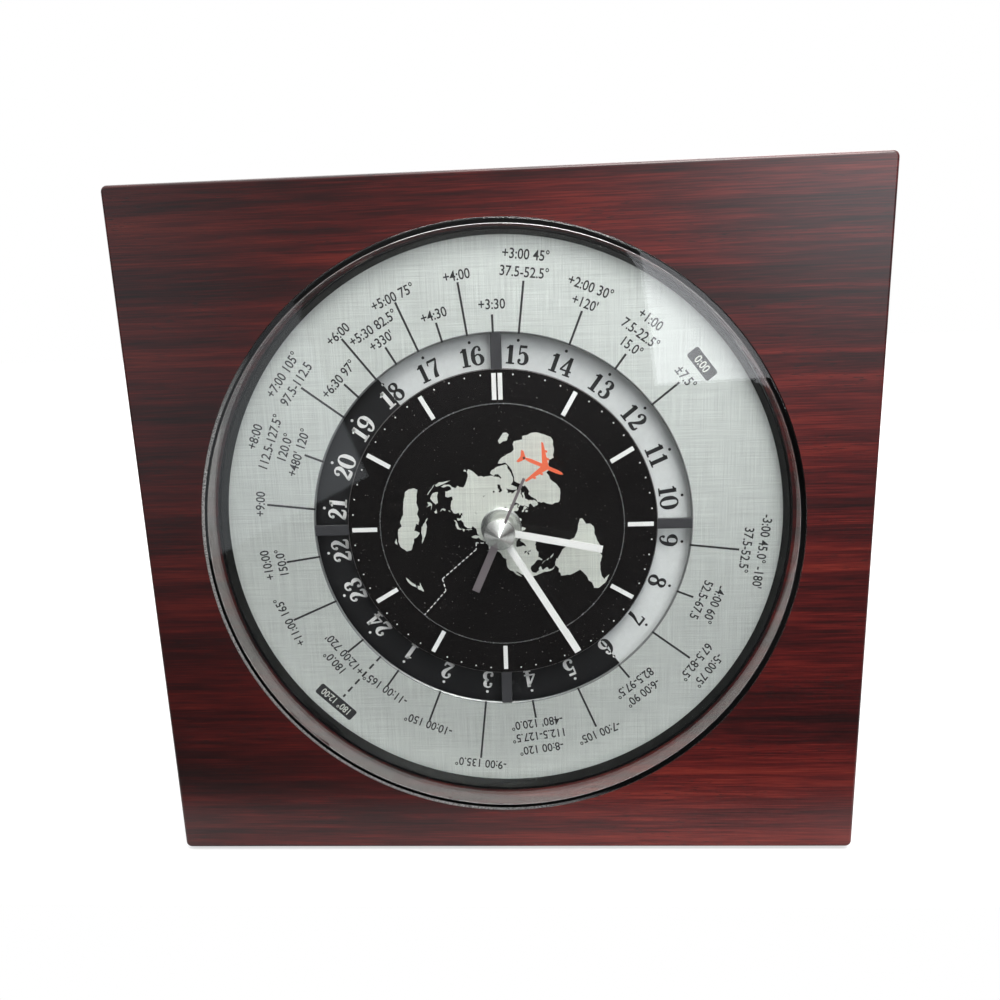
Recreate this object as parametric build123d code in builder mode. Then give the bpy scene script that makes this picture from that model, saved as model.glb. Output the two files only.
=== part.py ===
from build123d import *
import math
import os

# World time clock in a wooden case: a domed crystal, a silver dial with a ring-shaped window,
# a numbered disc that turns once a day behind it, and a quartz movement with its gear trains.
# Millimetres. +Z is up and the front faces -Y. The origin is under the middle of the case,
# on the surface that it stands on. Depths count backwards from the wooden front face.

os.makedirs("parts", exist_ok=True)

# Case, built round the dial housing and the movement
side_gap = 11.4
top_gap = 2.35
bottom_gap = 9.25
back_gap = 4.5
panel_thickness = 9.0
board_thickness = 8.0
case_corner_radius = 1.8
front_arris_radius = 1.0
block_leg = 16.0
block_screw_share = 0.40625
felt_thickness = 1.2
felt_margin = 7.0
cover_thickness = 2.5
cover_clearance = 0.3
cover_recess = 7.5

# Crystal, a cup that fits over the rim of the dial housing
rim_clearance = 0.2
crystal_wall = 1.6
crystal_edge_proud = 13.2
crystal_dome_rise = 5.3
crystal_edge_round = 1.0
crystal_clearance = 0.3
crystal_flange_width = 2.7
crystal_flange_thickness = 1.8
crystal_seat_depth = 5.0

# Dial
dial_depth = 2.2
dial_thickness = 0.8
dial_clearance = 0.1
rim_ring_width = 1.4
rim_ring_height = 3.7
rim_ring_lip = 0.4
window_outer_radius = 56.3
window_inner_radius = 46.5
bridge_width = 3.2
bridge_count = 4
map_radius = 36.7
map_thickness = 0.4
bushing_flange_radius = 6.1
bushing_flange_thickness = 1.2
bushing_chamfer = 0.4
bushing_radius = 4.5
bushing_neck_step = 0.3
retainer_radius = 6.0
retainer_thickness = 0.5
retainer_gap = 0.2
bushing_end = 0.1

# Dial housing
housing_floor_thickness = 2.0
housing_rim_radius = 84.3
housing_rim_width = 2.8
housing_wall = 2.0
housing_flange_lip = 0.6
housing_flange_thickness = 2.0
lug_width = 14.0
lug_length = 8.8
lug_screw_inset = 5.0
lug_count = 4
boss_radius = 3.5
boss_gap = 0.6

# Twenty-four hour disc
disc_gap = 2.6
disc_thickness = 1.0
disc_overlap = 3.7
disc_hub_radius = 7.5
disc_hub_gap = 0.2
disc_flange_radius = 11.0
disc_flange_thickness = 0.8

# Hands. Clock angles are clockwise from the top, as the hands stand at rest.
hour_hand_angle = 101.5
minute_hand_angle = 148.8
second_hand_angle = 24.4
hand_thickness = 0.4
hour_hand_gap = 3.8
hour_hand_length = 30.3
hour_hand_width = 2.1
minute_hand_gap = 1.3
minute_hand_length = 42.9
minute_hand_width = 2.0
second_tail_length = 18.2
second_tail_width = 2.2
second_stem_overlap = 0.55
second_stem_width = 0.8
second_tail_start = 3.2
second_hand_lift = 1.2
hand_boss_thickness = 1.2
hour_boss_radius = 3.8
minute_boss_radius = 3.0
cap_radius = 4.5
cap_gap = 1.2
cap_rim = 0.8
cap_height = 5.2

# Airliner on the second hand: places along its flight and across it
plane_reach = 23.4
plane_nose = 9.7
plane_tail = 3.4
plane_thickness = 0.5
fuselage_width = 1.0
nose_taper = 2.0
tail_taper = 3.0
half_span = 5.95
wing_tip_place = 0.4
wing_tip_chord = 0.6
wing_root_front = 5.05
wing_root_back = 3.0
tailplane_half_span = 1.75
tailplane_sweep = 1.3
tailplane_chord = 0.7
tailplane_root_chord = 1.5
engine_length = 1.5
engine_width = 0.55
engine_lead = 1.15
engine_shares = (0.38, 0.68)

# Spindles, from the middle out
arbor_radius = 0.5
running_clearance = 0.05
cannon_radius = 1.3
hour_sleeve_radius = 2.5
bushing_clearance = 0.1
centre_tube_radius = 4.0
centre_tube_gap = 0.4
post_radius = 1.0
idler_post_radius = 1.5
idler_post_head_radius = 2.6
idler_post_head_height = 0.6
set_shaft_radius = 1.2
bearing_boss_radius = 1.6
bearing_boss_height = 1.0

# Gear teeth
gear_thickness = 0.8
motor_module = 0.30
second_module = 0.36
minute_module = 0.34
motion_module = 0.40
addendum_share = 0.70
dedendum_share = 1.15
tooth_share = 0.40
tip_lean_share = 0.36
wheel_root_lean_share = 0.25
small_gear_limit = 20
rotor_teeth = 10
intermediate_teeth = 60
intermediate_pinion_teeth = 10
second_teeth = 50
second_pinion_teeth = 8
third_teeth = 60
third_pinion_teeth = 8
centre_teeth = 64
cannon_teeth = 15
motion_teeth = 45
motion_pinion_teeth = 12
hour_teeth = 48
set_teeth = 15
drive_teeth = 30
idler_teeth = 40
idler_pinion_teeth = 28
ring_teeth = 42

# Directions from one spindle to the next, seen from the front, anticlockwise from the right
third_direction = 165.0
intermediate_direction = 10.0
rotor_direction = 50.0
motion_direction = 60.0
set_direction = 120.0
idler_direction = 270.0

# Gears from front to back: each thickness that differs, and the gap in front of each gear
ring_gear_gap = 1.0
ring_gear_thickness = 1.4
drive_gear_gap = 0.6
drive_gear_thickness = 1.4
hour_wheel_gap = 0.8
hour_wheel_thickness = 1.0
motion_pinion_lead = 0.1
motion_wheel_gap = 0.5
third_pinion_gap = 0.5
centre_wheel_lag = 0.15
centre_wheel_thickness = 0.75
cannon_shoulder_radius = 2.0
clutch_thickness = 0.3
clutch_radius = 3.0
third_wheel_gap = 0.45
second_wheel_gap = 0.6
intermediate_wheel_gap = 0.8
intermediate_pinion_lead = 0.1
magnet_gap = 0.7
magnet_length = 2.2
magnet_radius = 1.9

# Movement case
movement_top = 27.0
movement_wall = 1.5
movement_corner_radius = 3.0
movement_cover_thickness = 1.5
bay_gap = 2.52
bay_wall_thickness = 1.2
nut_lead = 0.3
nut_thickness = 2.2
nut_across_corners = 14.0
nut_sides = 6
pillar_radius = 1.8
pillar_places = ((-23.5, 22.5), (12.0, 22.5), (-23.5, -10.5), (23.0, -11.0))
bridge_thickness = 1.0
bridge_left = 4.0
bridge_right = 22.0
bridge_bottom = 9.0
bridge_top = 19.0
bridge_post_radius = 1.5
bridge_post_places = ((16.0, -7.0), (19.0, 17.0))

# Motor, coil and circuit
stator_thickness = 1.0
stator_left = 14.6
stator_rib = 0.4
stator_right = 26.0
stator_side_gap = 0.5
stator_top = 24.0
stator_bottom = 8.0
stator_arm = 3.5
rotor_air_gap = 0.5
coil_inset = 2.3
coil_top = 19.5
coil_bottom = 3.5
coil_gap = 0.4
coil_core_width = 3.0
coil_core_thickness = 1.0
bobbin_side = 5.0
bobbin_flange = 1.0
bobbin_wall = 0.5
winding_gap = 0.2
board_left = 25.5
board_right = 4.0
board_top = 19.5
board_bottom = 7.0
board_lag = 0.4
board_sheet = 0.8
board_post_radius = 1.2
board_post_places = ((-23.0, 10.0), (-7.0, 17.0))
can_radius = 1.5
can_length = 6.0
can_gap = 0.2
can_place = (-11.0, 10.5)
chip_side = 5.0
chip_height = 1.2
chip_place = (-17.0, 14.5)

# Battery and contacts
battery_radius = 7.1
battery_length = 49.5
battery_nub_radius = 2.7
battery_nub_length = 1.0
battery_depth_play = 0.8
battery_top_play = 0.5
battery_bottom_play = 0.2
battery_edge_round = 0.6
contact_sheet = 0.4
contact_width = 9.0
contact_bend = 1.0
contact_spring_room = 1.8
contact_gap = 0.3

# Battery door
door_thickness = 1.8
door_gap = 0.1
door_side_lap = 1.5
door_top_lap = 1.2
door_opening_side_play = 3.5
door_opening_play = 2.8
door_pin_radius = 0.8
door_knuckle_radius = 1.9
door_hinge_margin = 2.8
ear_width = 3.0
ear_gap = 0.2
ear_radius = 1.9
grip_width = 14.0
grip_height = 1.2
grip_thickness = 1.0

# Knob and screws
knob_radius = 6.0
knob_length = 5.0
knob_gap = 0.8
knob_ridges = 24
knob_ridge_radius = 0.5
knob_hole_radius = 4.0
knob_edge = 0.6
screw_radius = 1.2
screw_head_radius = 2.5
screw_head_height = 1.5
screw_slot_width = 0.6
screw_slot_depth = 0.6
panel_screw_length = 6.0
cover_screw_length = 10.0
small_screw_radius = 0.7
small_screw_head_radius = 1.4
small_screw_head_height = 0.8
small_screw_length = 4.0

overrun = 1.0

# Radii round the dial, from the rim of the housing
crystal_inner_radius = housing_rim_radius + rim_clearance
crystal_radius = crystal_inner_radius + crystal_wall
crystal_flange_radius = crystal_radius + crystal_flange_width
dial_edge_radius = housing_rim_radius - dial_clearance
dial_visible_radius = dial_edge_radius - rim_ring_width
housing_flange_radius = crystal_flange_radius + housing_flange_lip
lug_reach = housing_flange_radius + lug_length
lug_screw_radius = lug_reach - lug_screw_inset
disc_radius = window_outer_radius + disc_overlap
bearing_radius = arbor_radius + running_clearance
bushing_bore_radius = hour_sleeve_radius + bushing_clearance
bushing_neck_radius = bushing_radius - bushing_neck_step

# Depths from the dial forwards
bushing_front_depth = dial_depth - map_thickness - bushing_flange_thickness
hour_hand_depth = bushing_front_depth - hour_hand_gap - hand_boss_thickness / 2
minute_hand_depth = hour_hand_depth - hand_boss_thickness - minute_hand_gap
cap_base_depth = minute_hand_depth - hand_boss_thickness / 2 - cap_gap
second_hand_depth = cap_base_depth - second_hand_lift
cap_apex_depth = cap_base_depth - cap_height
second_stem_length = plane_reach - half_span + second_stem_overlap

# Depths from the dial back to the floor of the housing
crystal_flange_back = crystal_seat_depth + crystal_flange_thickness
dial_back_depth = dial_depth + dial_thickness
disc_depth = dial_back_depth + disc_gap
disc_hub_front_depth = dial_back_depth + disc_hub_gap
disc_flange_back = disc_depth + disc_thickness + disc_flange_thickness
ring_gear_depth = disc_flange_back + ring_gear_gap
retainer_depth = ring_gear_depth + ring_gear_thickness + retainer_gap
bushing_end_depth = retainer_depth + retainer_thickness + bushing_end
drive_gear_depth = bushing_end_depth + drive_gear_gap
idler_wheel_back = drive_gear_depth + drive_gear_thickness
centre_tube_front_depth = idler_wheel_back + centre_tube_gap
housing_floor_depth = centre_tube_front_depth + nut_lead + nut_thickness
housing_floor_back = housing_floor_depth + housing_floor_thickness
boss_height = housing_floor_depth - idler_wheel_back - boss_gap

# Depths in the movement
movement_depth = housing_floor_back
base_floor_back = movement_depth + movement_wall
hour_wheel_depth = base_floor_back + hour_wheel_gap
motion_pinion_depth = hour_wheel_depth - motion_pinion_lead
motion_wheel_depth = hour_wheel_depth + hour_wheel_thickness + motion_wheel_gap
third_pinion_depth = motion_wheel_depth + gear_thickness + third_pinion_gap
post_end_depth = third_pinion_depth
centre_wheel_depth = third_pinion_depth + centre_wheel_lag
clutch_depth = centre_wheel_depth + centre_wheel_thickness + running_clearance
third_wheel_depth = clutch_depth + clutch_thickness + third_wheel_gap
bridge_front_depth = third_wheel_depth
bridge_back_depth = bridge_front_depth + bridge_thickness
second_wheel_depth = bridge_back_depth + second_wheel_gap
intermediate_wheel_depth = second_wheel_depth + gear_thickness + intermediate_wheel_gap
intermediate_pinion_length = intermediate_wheel_depth - second_wheel_depth + intermediate_pinion_lead
magnet_depth = intermediate_wheel_depth + gear_thickness + magnet_gap
stator_depth = magnet_depth + (magnet_length - stator_thickness) / 2
stator_back = stator_depth + stator_thickness
core_back = stator_back + coil_core_thickness
core_middle_depth = stator_back + coil_core_thickness / 2
board_depth = stator_depth + board_lag
board_back_depth = board_depth + board_sheet
movement_back_depth = max(
    base_floor_back + 2 * battery_radius + battery_depth_play,
    board_back_depth + 2 * can_radius + can_gap,
    core_middle_depth + bobbin_side / 2 + coil_gap,
)
movement_cover_back = movement_back_depth + movement_cover_thickness

# Widths and heights in the movement
battery_room = battery_length + battery_nub_length + contact_spring_room + contact_gap + contact_sheet
inner_side = max(battery_room / 2, stator_right + stator_side_gap)
movement_half_width = inner_side + movement_wall
battery_left = inner_side - contact_spring_room
bay_wall_top = centre_teeth * minute_module / 2 + bay_gap
battery_drop = bay_wall_top + bay_wall_thickness + battery_top_play + battery_radius
movement_bottom = battery_drop + battery_radius + battery_bottom_play + movement_wall
rotor_hole_radius = magnet_radius + rotor_air_gap
stator_strip_width = 2 * (rotor_hole_radius + stator_rib)
coil_across = stator_right - coil_inset

# Battery door and the opening that it covers
door_opening_width = battery_length + battery_nub_length + door_opening_side_play
door_opening_height = 2 * battery_radius + door_opening_play
door_width = door_opening_width + 2 * door_side_lap
door_height = door_hinge_margin + door_opening_height + door_top_lap
door_hinge_drop = battery_drop + door_opening_height / 2 + door_hinge_margin
door_hinge_depth = door_knuckle_radius + door_gap

# Case
cover_front_depth = movement_cover_back + back_gap
cover_back_depth = cover_front_depth + cover_thickness
case_depth = cover_back_depth + cover_recess
front_face = -case_depth / 2
inner_half_width = housing_flange_radius + side_gap
case_width = 2 * (inner_half_width + board_thickness)
inner_bottom = felt_thickness + board_thickness
dial_height = inner_bottom + bottom_gap + housing_flange_radius
inner_top = dial_height + housing_flange_radius + top_gap
case_height = inner_top + board_thickness - felt_thickness
dial_rise = dial_height - felt_thickness - case_height / 2
screw_inset = block_leg * block_screw_share


def facing(depth, across=0.0, up=0.0):
    """A plane seen square from the front: its X is to the right and its Y is up."""
    return Plane(
        origin=(across, front_face + depth, dial_height + up),
        x_dir=(1, 0, 0),
        z_dir=(0, -1, 0),
    )


def section(across=0.0, up=0.0):
    """A level plane through a spindle: its X is the radius and its Y is the depth."""
    return Plane(
        origin=(across, front_face, dial_height + up),
        x_dir=(1, 0, 0),
        z_dir=(0, 0, 1),
    )


def spindle(across=0.0, up=0.0):
    """The line about which a piece at that place turns."""
    return Axis((across, front_face, dial_height + up), (0, 1, 0))


def turned(points, across=0.0, up=0.0):
    """Profile of a turned piece, as (radius, depth) corners."""
    with BuildSketch(section(across, up)) as profile:
        with BuildLine():
            Polyline(*points, close=True)
        make_face()
    return profile.sketch


def disc(depth, radius, bore=0.0, across=0.0, up=0.0):
    """A round face, with a bore where one is given."""
    with BuildSketch(facing(depth, across, up)) as face:
        Circle(radius)
        if bore > 0:
            Circle(bore, mode=Mode.SUBTRACT)
    return face.sketch


def discs(depth, radius, places):
    """Equal round faces at several places."""
    with BuildSketch(facing(depth)) as faces:
        with Locations(*places):
            Circle(radius)
    return faces.sketch


def gear(depth, teeth, module, turn, bore=0.0, across=0.0, up=0.0):
    """Face of a gear. One tooth points at the angle turn, and the teeth have play between them."""
    pitch_radius = teeth * module / 2
    tip_radius = pitch_radius + addendum_share * module
    root_radius = pitch_radius - dedendum_share * module
    half_tooth = tooth_share * math.pi * module / 2
    tip_half = half_tooth - tip_lean_share * addendum_share * module
    root_half = half_tooth
    if teeth >= small_gear_limit:
        root_half = half_tooth + wheel_root_lean_share * dedendum_share * module
    points = []
    for tooth in range(teeth):
        middle = math.radians(turn) + tooth * math.tau / teeth
        for radius, half in (
            (root_radius, -root_half),
            (pitch_radius, -half_tooth),
            (tip_radius, -tip_half),
            (tip_radius, tip_half),
            (pitch_radius, half_tooth),
            (root_radius, root_half),
        ):
            angle = middle + half / radius
            points.append((radius * math.cos(angle), radius * math.sin(angle)))
    with BuildSketch(facing(depth, across, up)) as face:
        with BuildLine():
            Polyline(*points, close=True)
        make_face()
        if bore > 0:
            Circle(bore, mode=Mode.SUBTRACT)
    return face.sketch


def mesh_turn(turn, teeth, direction, next_teeth):
    """Turn of the next gear, so that its teeth stand in the gaps of the one before."""
    return direction + 180 - (turn - direction) * teeth / next_teeth + 180 / next_teeth


def step(place, direction, distance):
    """The place at a distance in a direction."""
    angle = math.radians(direction)
    return (place[0] + distance * math.cos(angle), place[1] + distance * math.sin(angle))


def save(piece, name):
    """Name a finished piece and write its file."""
    piece.part.label = name
    export_step(piece.part, "parts/" + name + ".step")


# Places of the spindles, from the dial's middle
centre = (0.0, 0.0)
third_place = step(centre, third_direction, (third_teeth + second_pinion_teeth) * second_module / 2)
intermediate_place = step(
    centre, intermediate_direction, (second_teeth + intermediate_pinion_teeth) * second_module / 2
)
rotor_place = step(
    intermediate_place, rotor_direction, (intermediate_teeth + rotor_teeth) * motor_module / 2
)
motion_place = step(centre, motion_direction, (cannon_teeth + motion_teeth) * motion_module / 2)
set_place = step(motion_place, set_direction, (motion_teeth + set_teeth) * motion_module / 2)
idler_place = step(centre, idler_direction, (drive_teeth + idler_teeth) * motion_module / 2)

# Turns of the gears at rest
second_pinion_turn = third_direction
third_wheel_turn = mesh_turn(
    second_pinion_turn, second_pinion_teeth, third_direction, third_teeth
)
third_pinion_turn = third_direction + 180
centre_wheel_turn = mesh_turn(
    third_pinion_turn, third_pinion_teeth, third_direction + 180, centre_teeth
)
second_wheel_turn = intermediate_direction
intermediate_pinion_turn = mesh_turn(
    second_wheel_turn, second_teeth, intermediate_direction, intermediate_pinion_teeth
)
intermediate_wheel_turn = rotor_direction
rotor_turn = mesh_turn(
    intermediate_wheel_turn, intermediate_teeth, rotor_direction, rotor_teeth
)
cannon_turn = motion_direction
motion_wheel_turn = mesh_turn(cannon_turn, cannon_teeth, motion_direction, motion_teeth)
motion_pinion_turn = motion_direction + 180
hour_wheel_turn = mesh_turn(
    motion_pinion_turn, motion_pinion_teeth, motion_direction + 180, hour_teeth
)
set_wheel_turn = mesh_turn(motion_wheel_turn, motion_teeth, set_direction, set_teeth)
drive_turn = idler_direction
idler_wheel_turn = mesh_turn(drive_turn, drive_teeth, idler_direction, idler_teeth)
idler_pinion_turn = idler_direction + 180
ring_gear_turn = mesh_turn(
    idler_pinion_turn, idler_pinion_teeth, idler_direction + 180, ring_teeth
)

# Places of the screws
block_screw_across = inner_half_width - screw_inset
block_screw_top = inner_top - screw_inset - dial_height
block_screw_bottom = inner_bottom + screw_inset - dial_height
block_screw_places = (
    (block_screw_across, block_screw_top),
    (-block_screw_across, block_screw_top),
    (block_screw_across, block_screw_bottom),
    (-block_screw_across, block_screw_bottom),
)
lug_angles = [45 + 360 / lug_count * index for index in range(lug_count)]
lug_screw_places = [step(centre, angle, lug_screw_radius) for angle in lug_angles]

# Wooden front, with a stepped hole that the crystal drops into from behind
with BuildPart() as front_panel:
    with BuildSketch(facing(panel_thickness, 0, -dial_rise)):
        RectangleRounded(case_width, case_height, case_corner_radius)
    extrude(amount=panel_thickness)
    front_edges = front_panel.faces().sort_by(Axis.Y)[0].edges()
    fillet(front_edges, radius=front_arris_radius)
    extrude(
        disc(panel_thickness, crystal_radius + crystal_clearance),
        amount=panel_thickness,
        mode=Mode.SUBTRACT,
    )
    extrude(
        disc(panel_thickness, crystal_flange_radius + crystal_clearance),
        amount=panel_thickness - crystal_seat_depth,
        mode=Mode.SUBTRACT,
    )
    extrude(
        discs(panel_thickness, screw_radius, lug_screw_places),
        amount=panel_screw_length,
        mode=Mode.SUBTRACT,
    )
save(front_panel, "front_panel")

# The four boards behind the front
board_back = case_depth - panel_thickness
for name, low in (("top_board", inner_top), ("bottom_board", felt_thickness)):
    with BuildPart() as board:
        with BuildSketch(Plane.XY.offset(low)):
            with Locations((0, front_face + panel_thickness + board_back / 2)):
                Rectangle(case_width, board_back)
        extrude(amount=board_thickness)
        outer_face = board.faces().sort_by(Axis.Z)[-1 if low > dial_height else 0]
        fillet(
            outer_face.edges().filter_by(Axis.Y),
            radius=case_corner_radius,
        )
    save(board, name)

for name, side in (("left_board", -1), ("right_board", 1)):
    with BuildPart() as board:
        with BuildSketch(Plane.XY.offset(inner_bottom)):
            with Locations(
                (
                    side * (inner_half_width + board_thickness / 2),
                    front_face + panel_thickness + board_back / 2,
                )
            ):
                Rectangle(board_thickness, board_back)
        extrude(amount=inner_top - inner_bottom)
    save(board, name)

# Three-cornered glue blocks in the corners, which the back cover is screwed to
with BuildPart() as corner_blocks:
    with BuildSketch(facing(cover_front_depth)):
        for side in (-1, 1):
            for inner, turn in ((inner_top, -1), (inner_bottom, 1)):
                corner = (side * inner_half_width, inner - dial_height)
                with BuildLine():
                    Polyline(
                        corner,
                        (corner[0] - side * block_leg, corner[1]),
                        (corner[0], corner[1] + turn * block_leg),
                        close=True,
                    )
                make_face()
        with Locations(*block_screw_places):
            Circle(screw_radius, mode=Mode.SUBTRACT)
    extrude(amount=cover_front_depth - panel_thickness)
save(corner_blocks, "corner_blocks")

# Felt under the case
with BuildPart() as felt_pad:
    with BuildSketch(Plane.XY):
        Rectangle(case_width - 2 * felt_margin, case_depth - 2 * felt_margin)
    extrude(amount=felt_thickness)
save(felt_pad, "felt_pad")

# Crystal: a clear cup with a domed end and a flange that seats in the panel
dome_radius = crystal_radius - crystal_edge_round
dome_sphere = (dome_radius**2 + crystal_dome_rise**2) / (2 * crystal_dome_rise)
crystal_apex_depth = -crystal_edge_proud - crystal_dome_rise
inner_dome_radius = crystal_inner_radius - crystal_edge_round
half_chord = inner_dome_radius / 2
inner_edge_depth = -crystal_edge_proud + crystal_wall
inner_apex_depth = crystal_apex_depth + crystal_wall
inner_rise = inner_edge_depth - inner_apex_depth
inner_sphere = (inner_dome_radius**2 + inner_rise**2) / (2 * inner_rise)


def dome_depth(apex_depth, sphere_radius, radius):
    """Depth of a dome at a distance from its middle."""
    return apex_depth + sphere_radius - math.sqrt(sphere_radius**2 - radius**2)


with BuildPart() as crystal:
    with BuildSketch(section()):
        with BuildLine():
            Polyline(
                (crystal_inner_radius, inner_edge_depth + crystal_edge_round),
                (crystal_inner_radius, crystal_flange_back),
                (crystal_flange_radius, crystal_flange_back),
                (crystal_flange_radius, crystal_seat_depth),
                (crystal_radius, crystal_seat_depth),
                (crystal_radius, -crystal_edge_proud + crystal_edge_round),
            )
            RadiusArc(
                (crystal_radius, -crystal_edge_proud + crystal_edge_round),
                (dome_radius, -crystal_edge_proud),
                crystal_edge_round,
            )
            ThreePointArc(
                (dome_radius, -crystal_edge_proud),
                (half_chord, dome_depth(crystal_apex_depth, dome_sphere, half_chord)),
                (0, crystal_apex_depth),
            )
            Line((0, crystal_apex_depth), (0, inner_apex_depth))
            ThreePointArc(
                (0, inner_apex_depth),
                (half_chord, dome_depth(inner_apex_depth, inner_sphere, half_chord)),
                (inner_dome_radius, inner_edge_depth),
            )
            RadiusArc(
                (inner_dome_radius, inner_edge_depth),
                (crystal_inner_radius, inner_edge_depth + crystal_edge_round),
                -crystal_edge_round,
            )
        make_face()
    revolve(axis=spindle())
save(crystal, "crystal")

# Black ring round the dial
with BuildPart() as rim_ring:
    revolve(
        turned(
            [
                (dial_visible_radius, dial_depth),
                (dial_edge_radius, dial_depth),
                (dial_edge_radius, dial_depth - rim_ring_height),
                (dial_edge_radius - rim_ring_lip, dial_depth - rim_ring_height),
            ]
        ),
        axis=spindle(),
    )
save(rim_ring, "rim_ring")

# Silver dial, with a ring-shaped window that four bridges cross
with BuildPart() as dial_plate:
    with BuildSketch(facing(dial_back_depth)):
        Circle(dial_edge_radius)
        Circle(window_outer_radius, mode=Mode.SUBTRACT)
        Circle(window_inner_radius)
        bridge_middle = (window_outer_radius + window_inner_radius) / 2
        bridge_length = window_outer_radius - window_inner_radius + 2 * overrun
        with PolarLocations(bridge_middle, bridge_count):
            Rectangle(bridge_length, bridge_width)
        Circle(bushing_radius, mode=Mode.SUBTRACT)
    extrude(amount=dial_thickness)
save(dial_plate, "dial_plate")

# Black disc with the map
with BuildPart() as map_disc:
    extrude(disc(dial_depth, map_radius, bushing_radius), amount=map_thickness)
save(map_disc, "map_disc")

# Turned bushing at the dial's middle, which the numbered disc turns on
with BuildPart() as dial_bushing:
    revolve(
        turned(
            [
                (bushing_bore_radius, bushing_front_depth),
                (bushing_flange_radius - bushing_chamfer, bushing_front_depth),
                (bushing_flange_radius, bushing_front_depth + bushing_chamfer),
                (bushing_flange_radius, dial_depth - map_thickness),
                (bushing_radius, dial_depth - map_thickness),
                (bushing_radius, retainer_depth),
                (bushing_neck_radius, retainer_depth),
                (bushing_neck_radius, bushing_end_depth),
                (bushing_bore_radius, bushing_end_depth),
            ]
        ),
        axis=spindle(),
    )
save(dial_bushing, "dial_bushing")

# Washer that keeps the numbered disc on the bushing
with BuildPart() as ring_retainer:
    extrude(
        disc(retainer_depth + retainer_thickness, retainer_radius, bushing_neck_radius),
        amount=retainer_thickness,
    )
save(ring_retainer, "ring_retainer")

# Black tray that carries the dial, clamps the crystal and holds the movement
housing_flange_back = panel_thickness + housing_flange_thickness
housing_wall_outer = housing_rim_radius - housing_rim_width + housing_wall
with BuildPart() as dial_housing:
    revolve(
        turned(
            [
                (centre_tube_radius, housing_floor_depth),
                (housing_rim_radius - housing_rim_width, housing_floor_depth),
                (housing_rim_radius - housing_rim_width, dial_back_depth),
                (housing_rim_radius, dial_back_depth),
                (housing_rim_radius, crystal_flange_back),
                (crystal_flange_radius, crystal_flange_back),
                (crystal_flange_radius, panel_thickness),
                (housing_flange_radius, panel_thickness),
                (housing_flange_radius, housing_flange_back),
                (housing_wall_outer, housing_flange_back),
                (housing_wall_outer, housing_floor_back),
                (centre_tube_radius, housing_floor_back),
            ]
        ),
        axis=spindle(),
    )
    with BuildSketch(facing(housing_flange_back)):
        lug_middle = (housing_rim_radius + lug_reach) / 2
        with PolarLocations(lug_middle, lug_count, start_angle=lug_angles[0]):
            Rectangle(lug_reach - housing_rim_radius, lug_width)
        with Locations(*lug_screw_places):
            Circle(screw_radius, mode=Mode.SUBTRACT)
    extrude(amount=housing_flange_thickness)
    extrude(
        disc(housing_floor_depth, boss_radius, 0, *idler_place),
        amount=boss_height,
    )
    extrude(
        disc(housing_floor_back, idler_post_radius, 0, *idler_place),
        amount=housing_floor_thickness + boss_height,
        mode=Mode.SUBTRACT,
    )
save(dial_housing, "dial_housing")


def slotted_screws(places, seat_depth, radius, length, head_radius, head_height):
    """Screws driven from behind, with slotted heads on the seat."""
    with BuildPart() as screws:
        extrude(discs(seat_depth, radius, places), amount=length)
        with BuildSketch(facing(seat_depth + head_height)):
            with Locations(*places):
                Circle(head_radius)
        extrude(amount=head_height)
        with BuildSketch(facing(seat_depth + head_height)):
            with Locations(*places):
                Rectangle(2 * head_radius + overrun, screw_slot_width)
        extrude(amount=min(screw_slot_depth, head_height / 2), mode=Mode.SUBTRACT)
    return screws


housing_screws = slotted_screws(
    lug_screw_places,
    housing_flange_back,
    screw_radius,
    housing_flange_thickness + panel_screw_length,
    screw_head_radius,
    screw_head_height,
)
save(housing_screws, "housing_screws")

# Shoulder post for the idler of the numbered disc
idler_head_back = ring_gear_depth - running_clearance
with BuildPart() as idler_post:
    extrude(
        disc(idler_head_back, idler_post_head_radius, 0, *idler_place),
        amount=idler_post_head_height,
    )
    extrude(
        disc(housing_floor_back, idler_post_radius, 0, *idler_place),
        amount=housing_floor_back - idler_head_back,
    )
save(idler_post, "idler_post")

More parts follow.
